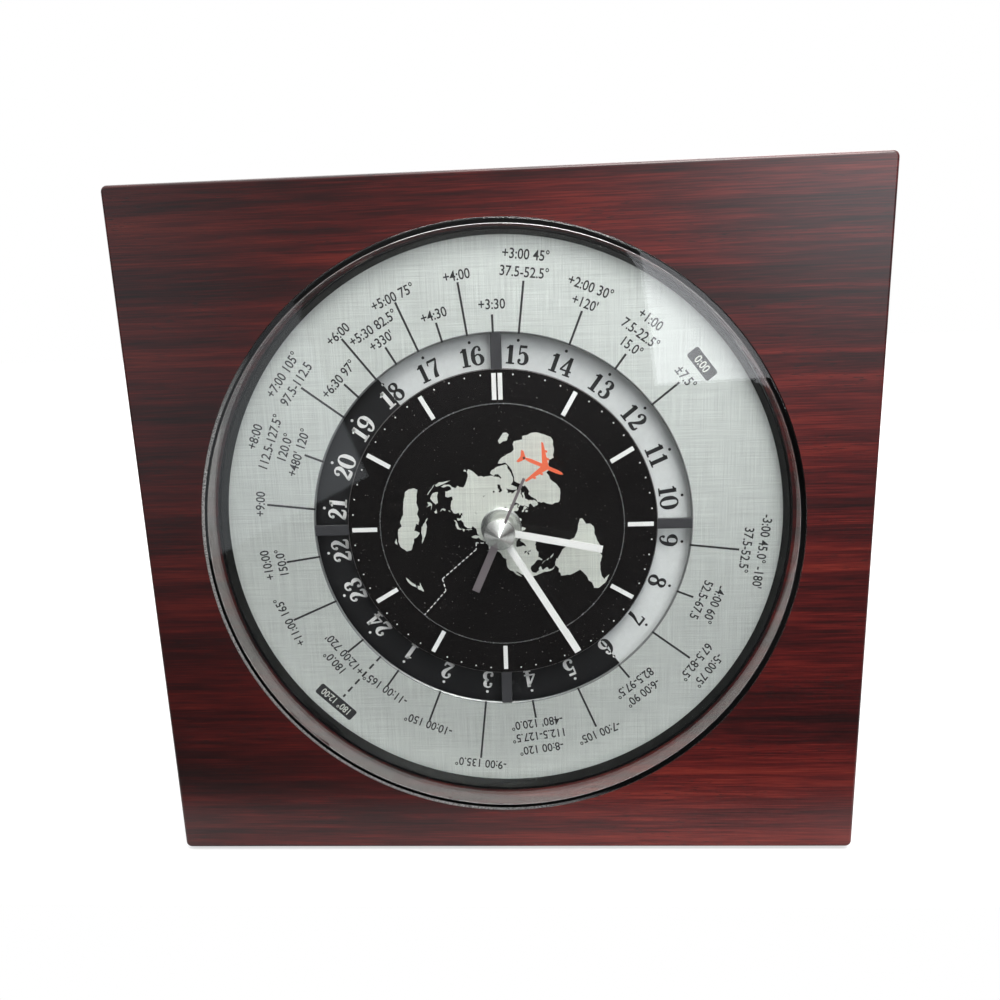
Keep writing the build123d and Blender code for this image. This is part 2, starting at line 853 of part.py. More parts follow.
# Movement case: front shell with the threaded centre tube, the bearings and the battery bay
with BuildPart() as movement_base:
    base_height = movement_top + movement_bottom
    base_rise = (movement_top - movement_bottom) / 2
    with BuildSketch(facing(movement_back_depth, 0, base_rise)):
        RectangleRounded(2 * movement_half_width, base_height, movement_corner_radius)
    extrude(amount=movement_back_depth - movement_depth)
    with BuildSketch(facing(movement_back_depth, 0, base_rise)):
        Rectangle(
            2 * (movement_half_width - movement_wall),
            base_height - 2 * movement_wall,
        )
    extrude(amount=movement_back_depth - base_floor_back, mode=Mode.SUBTRACT)
    bay_wall_middle = -bay_wall_top - bay_wall_thickness / 2
    with BuildSketch(facing(movement_back_depth, 0, bay_wall_middle)):
        Rectangle(2 * movement_half_width - movement_wall, bay_wall_thickness)
    extrude(amount=movement_back_depth - base_floor_back)
    extrude(
        discs(movement_back_depth, pillar_radius, pillar_places),
        amount=movement_back_depth - base_floor_back,
    )
    extrude(
        discs(bridge_front_depth, bridge_post_radius, bridge_post_places),
        amount=bridge_front_depth - base_floor_back,
    )
    extrude(
        discs(board_depth, board_post_radius, board_post_places),
        amount=board_depth - base_floor_back,
    )
    extrude(
        disc(post_end_depth, post_radius, 0, *motion_place),
        amount=post_end_depth - base_floor_back,
    )
    extrude(
        discs(base_floor_back + bearing_boss_height, bearing_boss_radius, (third_place, set_place)),
        amount=bearing_boss_height,
    )
    extrude(
        disc(movement_depth, centre_tube_radius),
        amount=movement_depth - centre_tube_front_depth,
    )
    extrude(
        disc(base_floor_back, hour_sleeve_radius + running_clearance),
        amount=base_floor_back - centre_tube_front_depth,
        mode=Mode.SUBTRACT,
    )
    extrude(
        disc(base_floor_back + bearing_boss_height, bearing_radius, 0, *third_place),
        amount=bearing_boss_height + movement_wall / 2,
        mode=Mode.SUBTRACT,
    )
    extrude(
        disc(
            base_floor_back + bearing_boss_height,
            set_shaft_radius + running_clearance,
            0,
            *set_place,
        ),
        amount=bearing_boss_height + movement_wall / 2,
        mode=Mode.SUBTRACT,
    )
    extrude(
        discs(movement_back_depth, small_screw_radius, pillar_places),
        amount=small_screw_length,
        mode=Mode.SUBTRACT,
    )
    extrude(
        discs(bridge_front_depth, small_screw_radius, bridge_post_places),
        amount=small_screw_length,
        mode=Mode.SUBTRACT,
    )
save(movement_base, "movement_base")

# Nut that clamps the movement to the tray
with BuildPart() as centre_nut:
    with BuildSketch(facing(housing_floor_depth)):
        RegularPolygon(nut_across_corners / 2, nut_sides)
        Circle(centre_tube_radius, mode=Mode.SUBTRACT)
    extrude(amount=nut_thickness)
save(centre_nut, "centre_nut")

# Back plate of the gear chamber, which carries the rear bearings
with BuildPart() as movement_cover:
    plate_bottom = bay_wall_top + bay_wall_thickness
    plate_rise = (movement_top - plate_bottom) / 2
    with BuildSketch(facing(movement_cover_back, 0, plate_rise)):
        Rectangle(2 * movement_half_width, movement_top + plate_bottom)
    extrude(amount=movement_cover_thickness)
    fillet(
        movement_cover.edges().filter_by(Axis.Y).group_by(Axis.Z)[-1],
        radius=movement_corner_radius,
    )
    extrude(
        discs(
            movement_cover_back,
            bearing_radius,
            (centre, third_place, intermediate_place, rotor_place),
        ),
        amount=movement_cover_thickness,
        mode=Mode.SUBTRACT,
    )
    extrude(
        disc(movement_cover_back, set_shaft_radius + running_clearance, 0, *set_place),
        amount=movement_cover_thickness,
        mode=Mode.SUBTRACT,
    )
    extrude(
        discs(movement_cover_back, small_screw_radius, pillar_places),
        amount=movement_cover_thickness,
        mode=Mode.SUBTRACT,
    )
save(movement_cover, "movement_cover")

# Small plate that carries the front bearings of the motor side
with BuildPart() as train_bridge:
    with BuildSketch(
        facing(
            bridge_back_depth,
            (bridge_left + bridge_right) / 2,
            (bridge_top - bridge_bottom) / 2,
        )
    ):
        Rectangle(bridge_right - bridge_left, bridge_top + bridge_bottom)
    extrude(amount=bridge_thickness)
    extrude(
        discs(bridge_back_depth, bearing_radius, (intermediate_place, rotor_place)),
        amount=bridge_thickness,
        mode=Mode.SUBTRACT,
    )
    extrude(
        discs(bridge_back_depth, small_screw_radius, bridge_post_places),
        amount=bridge_thickness,
        mode=Mode.SUBTRACT,
    )
save(train_bridge, "train_bridge")

movement_screws = slotted_screws(
    pillar_places,
    movement_cover_back,
    small_screw_radius,
    movement_cover_thickness + small_screw_length,
    small_screw_head_radius,
    small_screw_head_height,
)
save(movement_screws, "movement_screws")

bridge_screws = slotted_screws(
    bridge_post_places,
    bridge_back_depth,
    small_screw_radius,
    bridge_thickness + small_screw_length,
    small_screw_head_radius,
    small_screw_head_height,
)
save(bridge_screws, "bridge_screws")

# Motor: stator plate, coil core, bobbin and winding
with BuildPart() as stator:
    with BuildSketch(facing(stator_back)):
        with BuildLine():
            Polyline(
                (stator_left, stator_top),
                (stator_right, stator_top),
                (stator_right, stator_top - stator_arm),
                (stator_left + stator_strip_width, stator_top - stator_arm),
                (stator_left + stator_strip_width, -stator_bottom + stator_arm),
                (stator_right, -stator_bottom + stator_arm),
                (stator_right, -stator_bottom),
                (stator_left, -stator_bottom),
                close=True,
            )
        make_face()
        with Locations(rotor_place):
            Circle(rotor_hole_radius, mode=Mode.SUBTRACT)
    extrude(amount=stator_thickness)
save(stator, "stator")

coil_length = coil_top + coil_bottom
with BuildPart() as coil_core:
    with BuildSketch(facing(core_back, coil_across, (stator_top - stator_bottom) / 2)):
        Rectangle(coil_core_width, stator_top + stator_bottom)
    extrude(amount=coil_core_thickness)
save(coil_core, "coil_core")

coil_plane = Plane(
    origin=(coil_across, front_face + core_middle_depth, dial_height - coil_bottom),
    x_dir=(1, 0, 0),
    z_dir=(0, 0, 1),
)
with BuildPart() as coil_bobbin:
    with BuildSketch(coil_plane):
        Rectangle(coil_core_width + 2 * bobbin_wall, coil_core_thickness + 2 * bobbin_wall)
    extrude(amount=coil_length)
    with BuildSketch(coil_plane, coil_plane.offset(coil_length - bobbin_flange)):
        Rectangle(bobbin_side, bobbin_side)
    extrude(amount=bobbin_flange)
    with BuildSketch(coil_plane):
        Rectangle(coil_core_width, coil_core_thickness)
    extrude(amount=coil_length, mode=Mode.SUBTRACT)
save(coil_bobbin, "coil_bobbin")

with BuildPart() as coil_winding:
    with BuildSketch(coil_plane.offset(bobbin_flange)):
        RectangleRounded(bobbin_side - winding_gap, bobbin_side - winding_gap, bobbin_wall)
        Rectangle(
            coil_core_width + 2 * bobbin_wall,
            coil_core_thickness + 2 * bobbin_wall,
            mode=Mode.SUBTRACT,
        )
    extrude(amount=coil_length - 2 * bobbin_flange)
save(coil_winding, "coil_winding")

# Circuit board with its quartz can and chip
with BuildPart() as circuit_board:
    with BuildSketch(
        facing(
            board_back_depth,
            -(board_left + board_right) / 2,
            (board_top + board_bottom) / 2,
        )
    ):
        Rectangle(board_left - board_right, board_top - board_bottom)
    extrude(amount=board_sheet)
save(circuit_board, "circuit_board")

can_plane = Plane(
    origin=(
        can_place[0] - can_length / 2,
        front_face + board_back_depth + can_radius,
        dial_height + can_place[1],
    ),
    x_dir=(0, 1, 0),
    z_dir=(1, 0, 0),
)
with BuildPart() as quartz_can:
    with BuildSketch(can_plane):
        Circle(can_radius)
    extrude(amount=can_length)
save(quartz_can, "quartz_can")

with BuildPart() as control_chip:
    with BuildSketch(facing(board_back_depth + chip_height, *chip_place)):
        Rectangle(chip_side, chip_side)
    extrude(amount=chip_height)
save(control_chip, "control_chip")

# Rotor: magnet and pinion on one arbor
rear_pivot_depth = movement_cover_back - movement_wall / 4
with BuildPart() as rotor_pinion:
    pinion_front = intermediate_wheel_depth - running_clearance
    extrude(
        gear(
            pinion_front + gear_thickness + 2 * running_clearance,
            rotor_teeth,
            motor_module,
            rotor_turn,
            0,
            *rotor_place,
        ),
        amount=gear_thickness + 2 * running_clearance,
    )
    extrude(
        disc(rear_pivot_depth, arbor_radius, 0, *rotor_place),
        amount=rear_pivot_depth - bridge_front_depth,
    )
save(rotor_pinion, "rotor_pinion")

with BuildPart() as rotor_magnet:
    extrude(
        disc(magnet_depth + magnet_length, magnet_radius, arbor_radius, *rotor_place),
        amount=magnet_length,
    )
save(rotor_magnet, "rotor_magnet")

# Intermediate wheel and pinion
with BuildPart() as intermediate_wheel:
    extrude(
        gear(
            intermediate_wheel_depth + gear_thickness,
            intermediate_teeth,
            motor_module,
            intermediate_wheel_turn,
            0,
            *intermediate_place,
        ),
        amount=gear_thickness,
    )
    extrude(
        gear(
            intermediate_wheel_depth,
            intermediate_pinion_teeth,
            second_module,
            intermediate_pinion_turn,
            0,
            *intermediate_place,
        ),
        amount=intermediate_pinion_length,
    )
    extrude(
        disc(rear_pivot_depth, arbor_radius, 0, *intermediate_place),
        amount=rear_pivot_depth - bridge_front_depth,
    )
save(intermediate_wheel, "intermediate_wheel")

# Second wheel: its arbor runs through the whole clock and carries the second hand
second_arbor_front = (cap_base_depth + cap_apex_depth) / 2
with BuildPart() as second_wheel:
    extrude(
        gear(
            second_wheel_depth + gear_thickness,
            second_teeth,
            second_module,
            second_wheel_turn,
        ),
        amount=gear_thickness,
    )
    extrude(
        gear(
            second_wheel_depth,
            second_pinion_teeth,
            second_module,
            second_pinion_turn,
        ),
        amount=second_wheel_depth - third_wheel_depth,
    )
    extrude(
        disc(rear_pivot_depth, arbor_radius),
        amount=rear_pivot_depth - second_arbor_front,
    )
save(second_wheel, "second_wheel")

# Third wheel and pinion
with BuildPart() as third_wheel:
    extrude(
        gear(
            third_wheel_depth + gear_thickness,
            third_teeth,
            second_module,
            third_wheel_turn,
            0,
            *third_place,
        ),
        amount=gear_thickness,
    )
    extrude(
        gear(
            third_wheel_depth,
            third_pinion_teeth,
            minute_module,
            third_pinion_turn,
            0,
            *third_place,
        ),
        amount=third_wheel_depth - third_pinion_depth,
    )
    extrude(
        disc(rear_pivot_depth, arbor_radius, 0, *third_place),
        amount=rear_pivot_depth - base_floor_back,
    )
save(third_wheel, "third_wheel")

# Centre wheel, which drives the minute cannon by friction
with BuildPart() as centre_wheel:
    extrude(
        gear(
            centre_wheel_depth + centre_wheel_thickness,
            centre_teeth,
            minute_module,
            centre_wheel_turn,
            cannon_radius + running_clearance,
        ),
        amount=centre_wheel_thickness,
    )
save(centre_wheel, "centre_wheel")

# Minute cannon with its pinion, and the clutch spring on it
with BuildPart() as minute_cannon:
    cannon_front = minute_hand_depth - hand_boss_thickness / 2
    extrude(
        gear(
            motion_wheel_depth + gear_thickness,
            cannon_teeth,
            motion_module,
            cannon_turn,
        ),
        amount=gear_thickness,
    )
    extrude(
        disc(centre_wheel_depth - running_clearance, cannon_shoulder_radius),
        amount=centre_wheel_depth - running_clearance - motion_wheel_depth - gear_thickness,
    )
    extrude(
        disc(clutch_depth + clutch_thickness, cannon_radius),
        amount=clutch_depth + clutch_thickness - cannon_front,
    )
    extrude(
        disc(clutch_depth + clutch_thickness, bearing_radius),
        amount=clutch_depth + clutch_thickness - cannon_front,
        mode=Mode.SUBTRACT,
    )
save(minute_cannon, "minute_cannon")

with BuildPart() as clutch_spring:
    extrude(
        disc(clutch_depth + clutch_thickness, clutch_radius, cannon_radius),
        amount=clutch_thickness,
    )
save(clutch_spring, "clutch_spring")

# Motion wheel and pinion on the fixed post
with BuildPart() as motion_wheel:
    extrude(
        gear(
            motion_wheel_depth + gear_thickness,
            motion_teeth,
            motion_module,
            motion_wheel_turn,
            0,
            *motion_place,
        ),
        amount=gear_thickness,
    )
    extrude(
        gear(
            motion_wheel_depth,
            motion_pinion_teeth,
            motion_module,
            motion_pinion_turn,
            0,
            *motion_place,
        ),
        amount=motion_wheel_depth - motion_pinion_depth,
    )
    extrude(
        disc(
            motion_wheel_depth + gear_thickness,
            post_radius + running_clearance,
            0,
            *motion_place,
        ),
        amount=motion_wheel_depth + gear_thickness - motion_pinion_depth,
        mode=Mode.SUBTRACT,
    )
save(motion_wheel, "motion_wheel")

# Hour wheel with its long sleeve
with BuildPart() as hour_wheel:
    sleeve_front = hour_hand_depth - hand_boss_thickness / 2
    extrude(
        gear(
            hour_wheel_depth + hour_wheel_thickness,
            hour_teeth,
            motion_module,
            hour_wheel_turn,
        ),
        amount=hour_wheel_thickness,
    )
    extrude(
        disc(hour_wheel_depth + hour_wheel_thickness, hour_sleeve_radius),
        amount=hour_wheel_depth + hour_wheel_thickness - sleeve_front,
    )
    extrude(
        disc(hour_wheel_depth + hour_wheel_thickness, cannon_radius + running_clearance),
        amount=hour_wheel_depth + hour_wheel_thickness - sleeve_front,
        mode=Mode.SUBTRACT,
    )
save(hour_wheel, "hour_wheel")

# Gear pressed on the hour sleeve, which drives the numbered disc through the idler
with BuildPart() as ring_drive_gear:
    extrude(
        gear(
            drive_gear_depth + drive_gear_thickness,
            drive_teeth,
            motion_module,
            drive_turn,
            hour_sleeve_radius,
        ),
        amount=drive_gear_thickness,
    )
save(ring_drive_gear, "ring_drive_gear")

with BuildPart() as ring_idler:
    extrude(
        gear(
            idler_wheel_back,
            idler_teeth,
            motion_module,
            idler_wheel_turn,
            0,
            *idler_place,
        ),
        amount=drive_gear_thickness,
    )
    extrude(
        gear(
            drive_gear_depth,
            idler_pinion_teeth,
            motion_module,
            idler_pinion_turn,
            0,
            *idler_place,
        ),
        amount=drive_gear_depth - ring_gear_depth,
    )
    extrude(
        disc(idler_wheel_back, idler_post_radius + running_clearance, 0, *idler_place),
        amount=idler_wheel_back - ring_gear_depth,
        mode=Mode.SUBTRACT,
    )
save(ring_idler, "ring_idler")

# Hub and gear of the numbered disc
with BuildPart() as ring_gear:
    extrude(
        gear(
            ring_gear_depth + ring_gear_thickness,
            ring_teeth,
            motion_module,
            ring_gear_turn,
        ),
        amount=ring_gear_thickness,
    )
    extrude(disc(ring_gear_depth, disc_hub_radius), amount=ring_gear_depth - disc_hub_front_depth)
    extrude(disc(disc_flange_back, disc_flange_radius), amount=disc_flange_thickness)
    extrude(
        disc(ring_gear_depth + ring_gear_thickness, bushing_radius + running_clearance),
        amount=ring_gear_depth + ring_gear_thickness - disc_hub_front_depth,
        mode=Mode.SUBTRACT,
    )
save(ring_gear, "ring_gear")

with BuildPart() as hour_ring:
    extrude(
        disc(disc_depth + disc_thickness, disc_radius, disc_hub_radius),
        amount=disc_thickness,
    )
save(hour_ring, "hour_ring")


def hand(depth, clock_angle, length, width, boss_radius, bore):
    """A baton that stands out from a round boss on its sleeve."""
    boss_back = depth + hand_boss_thickness / 2
    angle = 90 - clock_angle
    with BuildPart() as piece:
        extrude(disc(boss_back, boss_radius), amount=hand_boss_thickness)
        with BuildSketch(facing(depth + hand_thickness / 2)):
            with Locations(Location((0, 0, 0), (0, 0, angle))):
                Rectangle(length, width, align=(Align.MIN, Align.CENTER))
        extrude(amount=hand_thickness)
        extrude(disc(boss_back, bore), amount=hand_boss_thickness, mode=Mode.SUBTRACT)
    return piece


hour_hand = hand(
    hour_hand_depth,
    hour_hand_angle,
    hour_hand_length,
    hour_hand_width,
    hour_boss_radius,
    hour_sleeve_radius,
)
save(hour_hand, "hour_hand")

minute_hand = hand(
    minute_hand_depth,
    minute_hand_angle,
    minute_hand_length,
    minute_hand_width,
    minute_boss_radius,
    cannon_radius,
)
save(minute_hand, "minute_hand")

# Second hand: a thin stem to one side and a wide tail to the other
second_turn = Location((0, 0, 0), (0, 0, 90 - second_hand_angle))
with BuildPart() as second_hand:
    with BuildSketch(facing(second_hand_depth + hand_thickness / 2)):
        with Locations(second_turn):
            Rectangle(second_stem_length, second_stem_width, align=(Align.MIN, Align.CENTER))
            Rectangle(second_tail_start, second_stem_width, align=(Align.MAX, Align.CENTER))
            with Locations((-second_tail_start, 0)):
                Rectangle(
                    second_tail_length - second_tail_start,
                    second_tail_width,
                    align=(Align.MAX, Align.CENTER),
                )
        Circle(second_tail_width / 2)
        Circle(arbor_radius, mode=Mode.SUBTRACT)
    extrude(amount=hand_thickness)
save(second_hand, "second_hand")

# Turned cap on the second arbor, cut out where the second hand passes through it
with BuildPart() as hub_cap:
    revolve(
        turned(
            [
                (0, cap_base_depth),
                (cap_radius, cap_base_depth),
                (cap_radius, cap_base_depth - cap_rim),
                (0, cap_apex_depth),
            ]
        ),
        axis=spindle(),
    )
    extrude(
        disc(cap_base_depth, arbor_radius),
        amount=cap_base_depth - second_arbor_front,
        mode=Mode.SUBTRACT,
    )
    add(second_hand.part, mode=Mode.SUBTRACT)
save(hub_cap, "hub_cap")

# Airliner: fuselage, swept wings, tailplane and four engines, flying clockwise.
# Its outline is drawn along the flight and out from the hub.
wing_lead = wing_root_front - wing_tip_place
half_fuselage = fuselage_width / 2
plane_half_outline = [
    (plane_nose, 0),
    (plane_nose - nose_taper / 3, half_fuselage * 2 / 3),
    (plane_nose - nose_taper, half_fuselage),
    (wing_root_front, half_fuselage),
    (wing_tip_place + wing_tip_chord, half_span),
    (wing_tip_place, half_span),
    (wing_root_back, half_fuselage),
    (-plane_tail + tail_taper, half_fuselage),
    (-plane_tail + tailplane_root_chord, half_fuselage / 2),
    (-plane_tail + tailplane_root_chord - tailplane_sweep, tailplane_half_span),
    (-plane_tail + tailplane_root_chord - tailplane_sweep - tailplane_chord, tailplane_half_span),
    (-plane_tail, half_fuselage / 3),
    (-plane_tail, 0),
]
flight_turn = Location((0, 0, 0), (0, 0, -second_hand_angle))
with BuildPart() as airplane:
    with BuildSketch(facing(second_hand_depth - hand_thickness / 2)):
        with Locations(flight_turn):
            with Locations((0, plane_reach)):
                with BuildSketch(mode=Mode.PRIVATE) as plane_outline:
                    with BuildLine():
                        Polyline(*plane_half_outline, close=True)
                    make_face()
                    mirror(about=Plane.XZ)
                    for share in engine_shares:
                        for side in (-1, 1):
                            across = side * half_span * share
                            wing_front = wing_root_front - wing_lead * share
                            with Locations((wing_front + engine_lead - engine_length / 2, across)):
                                Rectangle(engine_length, engine_width)
                add(plane_outline.sketch)
    extrude(amount=plane_thickness)
save(airplane, "airplane")

# Setting shaft with its wheel, and the knob behind the back cover
knob_front = cover_back_depth + knob_gap
knob_back = knob_front + knob_length
with BuildPart() as set_shaft:
    extrude(
        gear(
            motion_wheel_depth + gear_thickness,
            set_teeth,
            motion_module,
            set_wheel_turn,
            0,
            *set_place,
        ),
        amount=gear_thickness,
    )
    extrude(
        disc(knob_back - knob_edge, set_shaft_radius, 0, *set_place),
        amount=knob_back - knob_edge - base_floor_back,
    )
save(set_shaft, "set_shaft")

with BuildPart() as set_knob:
    extrude(disc(knob_back, knob_radius, 0, *set_place), amount=knob_length)
    chamfer(set_knob.faces().sort_by(Axis.Y)[-1].edges(), length=knob_edge)
    with BuildSketch(facing(knob_back, *set_place)):
        with PolarLocations(knob_radius, knob_ridges):
            Circle(knob_ridge_radius)
    extrude(amount=knob_length, mode=Mode.SUBTRACT)
    extrude(
        disc(knob_back - knob_edge, set_shaft_radius, 0, *set_place),
        amount=knob_length - knob_edge,
        mode=Mode.SUBTRACT,
    )
save(set_knob, "set_knob")

# Battery and its contacts
battery_plane = Plane(
    origin=(
        -battery_left,
        front_face + (base_floor_back + movement_back_depth) / 2,
        dial_height - battery_drop,
    ),
    x_dir=(0, 1, 0),
    z_dir=(1, 0, 0),
)
with BuildPart() as battery:
    with BuildSketch(battery_plane):
        Circle(battery_radius)
    extrude(amount=battery_length)
    fillet(battery.edges().filter_by(GeomType.CIRCLE), radius=battery_edge_round)
    with BuildSketch(battery_plane.offset(battery_length)):
        Circle(battery_nub_radius)
    extrude(amount=battery_nub_length)
save(battery, "battery")

battery_middle_depth = (base_floor_back + movement_back_depth) / 2
with BuildPart() as contact_plus:
    with BuildSketch(
        facing(
            battery_middle_depth + contact_width / 2,
            inner_side - contact_sheet / 2,
            -battery_drop,
        )
    ):
        Rectangle(contact_sheet, contact_width)
    extrude(amount=contact_width)
save(contact_plus, "contact_plus")

with BuildPart() as contact_minus:
    with BuildSketch(facing(battery_middle_depth + contact_width / 2, 0, -battery_drop)):
        with BuildLine():
            Polyline(
                (-inner_side, contact_width / 2),
                (-inner_side + contact_sheet, contact_width / 2),
                (-inner_side + contact_sheet, contact_bend),
                (-battery_left, 0),
                (-inner_side + contact_sheet, -contact_bend),
                (-inner_side + contact_sheet, -contact_width / 2),
                (-inner_side, -contact_width / 2),
                close=True,
            )
        make_face()
    extrude(amount=contact_width)
save(contact_minus, "contact_minus")

# Back cover, with the battery opening, the knob's hole and the ears of the door's hinge
hinge_depth = cover_back_depth + door_hinge_depth
ear_across = door_width / 2 + ear_gap + ear_width / 2
with BuildPart() as back_cover:
    cover_width = 2 * (inner_half_width - cover_clearance)
    cover_height = inner_top - inner_bottom - 2 * cover_clearance
    cover_middle = (inner_top + inner_bottom) / 2 - dial_height
    with BuildSketch(facing(cover_back_depth, 0, cover_middle)):
        Rectangle(cover_width, cover_height)
    extrude(amount=cover_thickness)
    with BuildSketch(facing(cover_back_depth, 0, -battery_drop)):
        Rectangle(door_opening_width, door_opening_height)
    extrude(amount=cover_thickness, mode=Mode.SUBTRACT)
    extrude(
        disc(cover_back_depth, knob_hole_radius, 0, *set_place),
        amount=cover_thickness,
        mode=Mode.SUBTRACT,
    )
    extrude(
        discs(cover_back_depth, screw_radius, block_screw_places),
        amount=cover_thickness,
        mode=Mode.SUBTRACT,
    )
    for side in (-1, 1):
        ear_plane = Plane(
            origin=(
                side * ear_across - ear_width / 2,
                front_face + hinge_depth,
                dial_height - door_hinge_drop,
            ),
            x_dir=(0, 1, 0),
            z_dir=(1, 0, 0),
        )
        with BuildSketch(ear_plane):
            Circle(ear_radius)
            Rectangle(door_hinge_depth, 2 * ear_radius, align=(Align.MAX, Align.CENTER))
            Circle(door_pin_radius, mode=Mode.SUBTRACT)
        extrude(amount=ear_width)
save(back_cover, "back_cover")

back_screws = slotted_screws(
    block_screw_places,
    cover_back_depth,
    screw_radius,
    cover_screw_length,
    screw_head_radius,
    screw_head_height,
)
save(back_screws, "back_screws")

# Battery door on its pin
hinge_length = 2 * (ear_across + ear_width / 2)
hinge_plane = Plane(
    origin=(0, front_face + hinge_depth, dial_height - door_hinge_drop),
    x_dir=(0, 1, 0),
    z_dir=(1, 0, 0),
)
with BuildPart() as door_pin:
    with BuildSketch(hinge_plane.offset(-hinge_length / 2)):
        Circle(door_pin_radius)
    extrude(amount=hinge_length)
save(door_pin, "door_pin")

door_front = cover_back_depth + door_gap
with BuildPart() as battery_door:
    with BuildSketch(hinge_plane.offset(-door_width / 2)):
        Circle(door_knuckle_radius)
    extrude(amount=door_width)
    with BuildSketch(facing(door_front + door_thickness, 0, -door_hinge_drop)):
        Rectangle(door_width, door_height, align=(Align.CENTER, Align.MIN))
    extrude(amount=door_thickness)
    with BuildSketch(
        facing(door_front + door_thickness + grip_thickness, 0, door_height - door_hinge_drop)
    ):
        Rectangle(grip_width, grip_height, align=(Align.CENTER, Align.MAX))
    extrude(amount=grip_thickness)
    with BuildSketch(hinge_plane.offset(-door_width / 2)):
        Circle(door_pin_radius + running_clearance)
    extrude(amount=door_width, mode=Mode.SUBTRACT)
save(battery_door, "battery_door")
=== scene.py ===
import bmesh
import bpy
import math
import random
from mathutils import Matrix, Vector
from mathutils.geometry import tessellate_polygon


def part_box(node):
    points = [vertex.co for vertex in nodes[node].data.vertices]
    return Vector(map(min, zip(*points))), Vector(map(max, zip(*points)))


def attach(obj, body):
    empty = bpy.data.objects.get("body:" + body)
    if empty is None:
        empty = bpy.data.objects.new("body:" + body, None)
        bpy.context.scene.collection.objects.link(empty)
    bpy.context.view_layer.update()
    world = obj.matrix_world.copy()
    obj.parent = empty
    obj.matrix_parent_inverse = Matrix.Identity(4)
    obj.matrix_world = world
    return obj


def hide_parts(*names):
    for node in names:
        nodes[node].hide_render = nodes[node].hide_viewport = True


# World time clock: finishes, printed dial and numbered disc, clear crystal, light and camera.
# Lengths are in metres. +Z is up, the dial faces -Y, and clock angles are clockwise from the top.

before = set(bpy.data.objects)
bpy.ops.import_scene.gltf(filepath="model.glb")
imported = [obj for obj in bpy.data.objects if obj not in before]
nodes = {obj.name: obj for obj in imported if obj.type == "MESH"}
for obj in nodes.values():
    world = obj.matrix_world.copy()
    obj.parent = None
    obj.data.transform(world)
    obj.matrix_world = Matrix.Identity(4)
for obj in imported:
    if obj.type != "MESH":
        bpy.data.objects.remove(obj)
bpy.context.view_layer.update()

mm = 0.001

# Places of the solids
dial_low, dial_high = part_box("dial_plate")
dial_z = (dial_low.z + dial_high.z) / 2
dial_y = dial_low.y
dial_back = dial_high.y
dial_edge = dial_high.x
disc_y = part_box("hour_ring")[0].y
map_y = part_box("map_disc")[0].y
airplane_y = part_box("airplane")[0].y
front_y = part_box("front_panel")[0].y
crystal_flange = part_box("crystal")[1].x
rim_low, rim_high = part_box("rim_ring")
cap_low, cap_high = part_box("hub_cap")

# Sizes of the crystal and the dial's parts
crystal_radius = 86.1 * mm
crystal_wall = 1.6 * mm
edge_y = front_y - 13.2 * mm
dial_radius = 82.8 * mm
window_outer = 56.3 * mm
window_inner = 46.5 * mm
map_radius = 36.7 * mm
bore_radius = 86.55 * mm
bushing_bore = 4.7 * mm
bridge_width = 3.2 * mm
print_rise = 0.03 * mm
print_sink = 0.05 * mm

# Turn of the numbered disc as the clock stands at rest
disc_turn = 231.74
hour_step = 15


def hour_angle(hour):
    """Clock angle of a number on the disc."""
    return disc_turn - hour_step * hour


def compass(clock_angle):
    """Directions on the dial at a clock angle: outwards, and clockwise round it."""
    angle = math.radians(clock_angle)
    out = Vector((math.sin(angle), math.cos(angle)))
    return out, Vector((out.y, -out.x))


def seen(radius, clock_angle):
    """Place on the dial, across and up from its middle."""
    return tuple(compass(clock_angle)[0] * radius)


# Shader helpers

def grey(level):
    return (level, level, level)


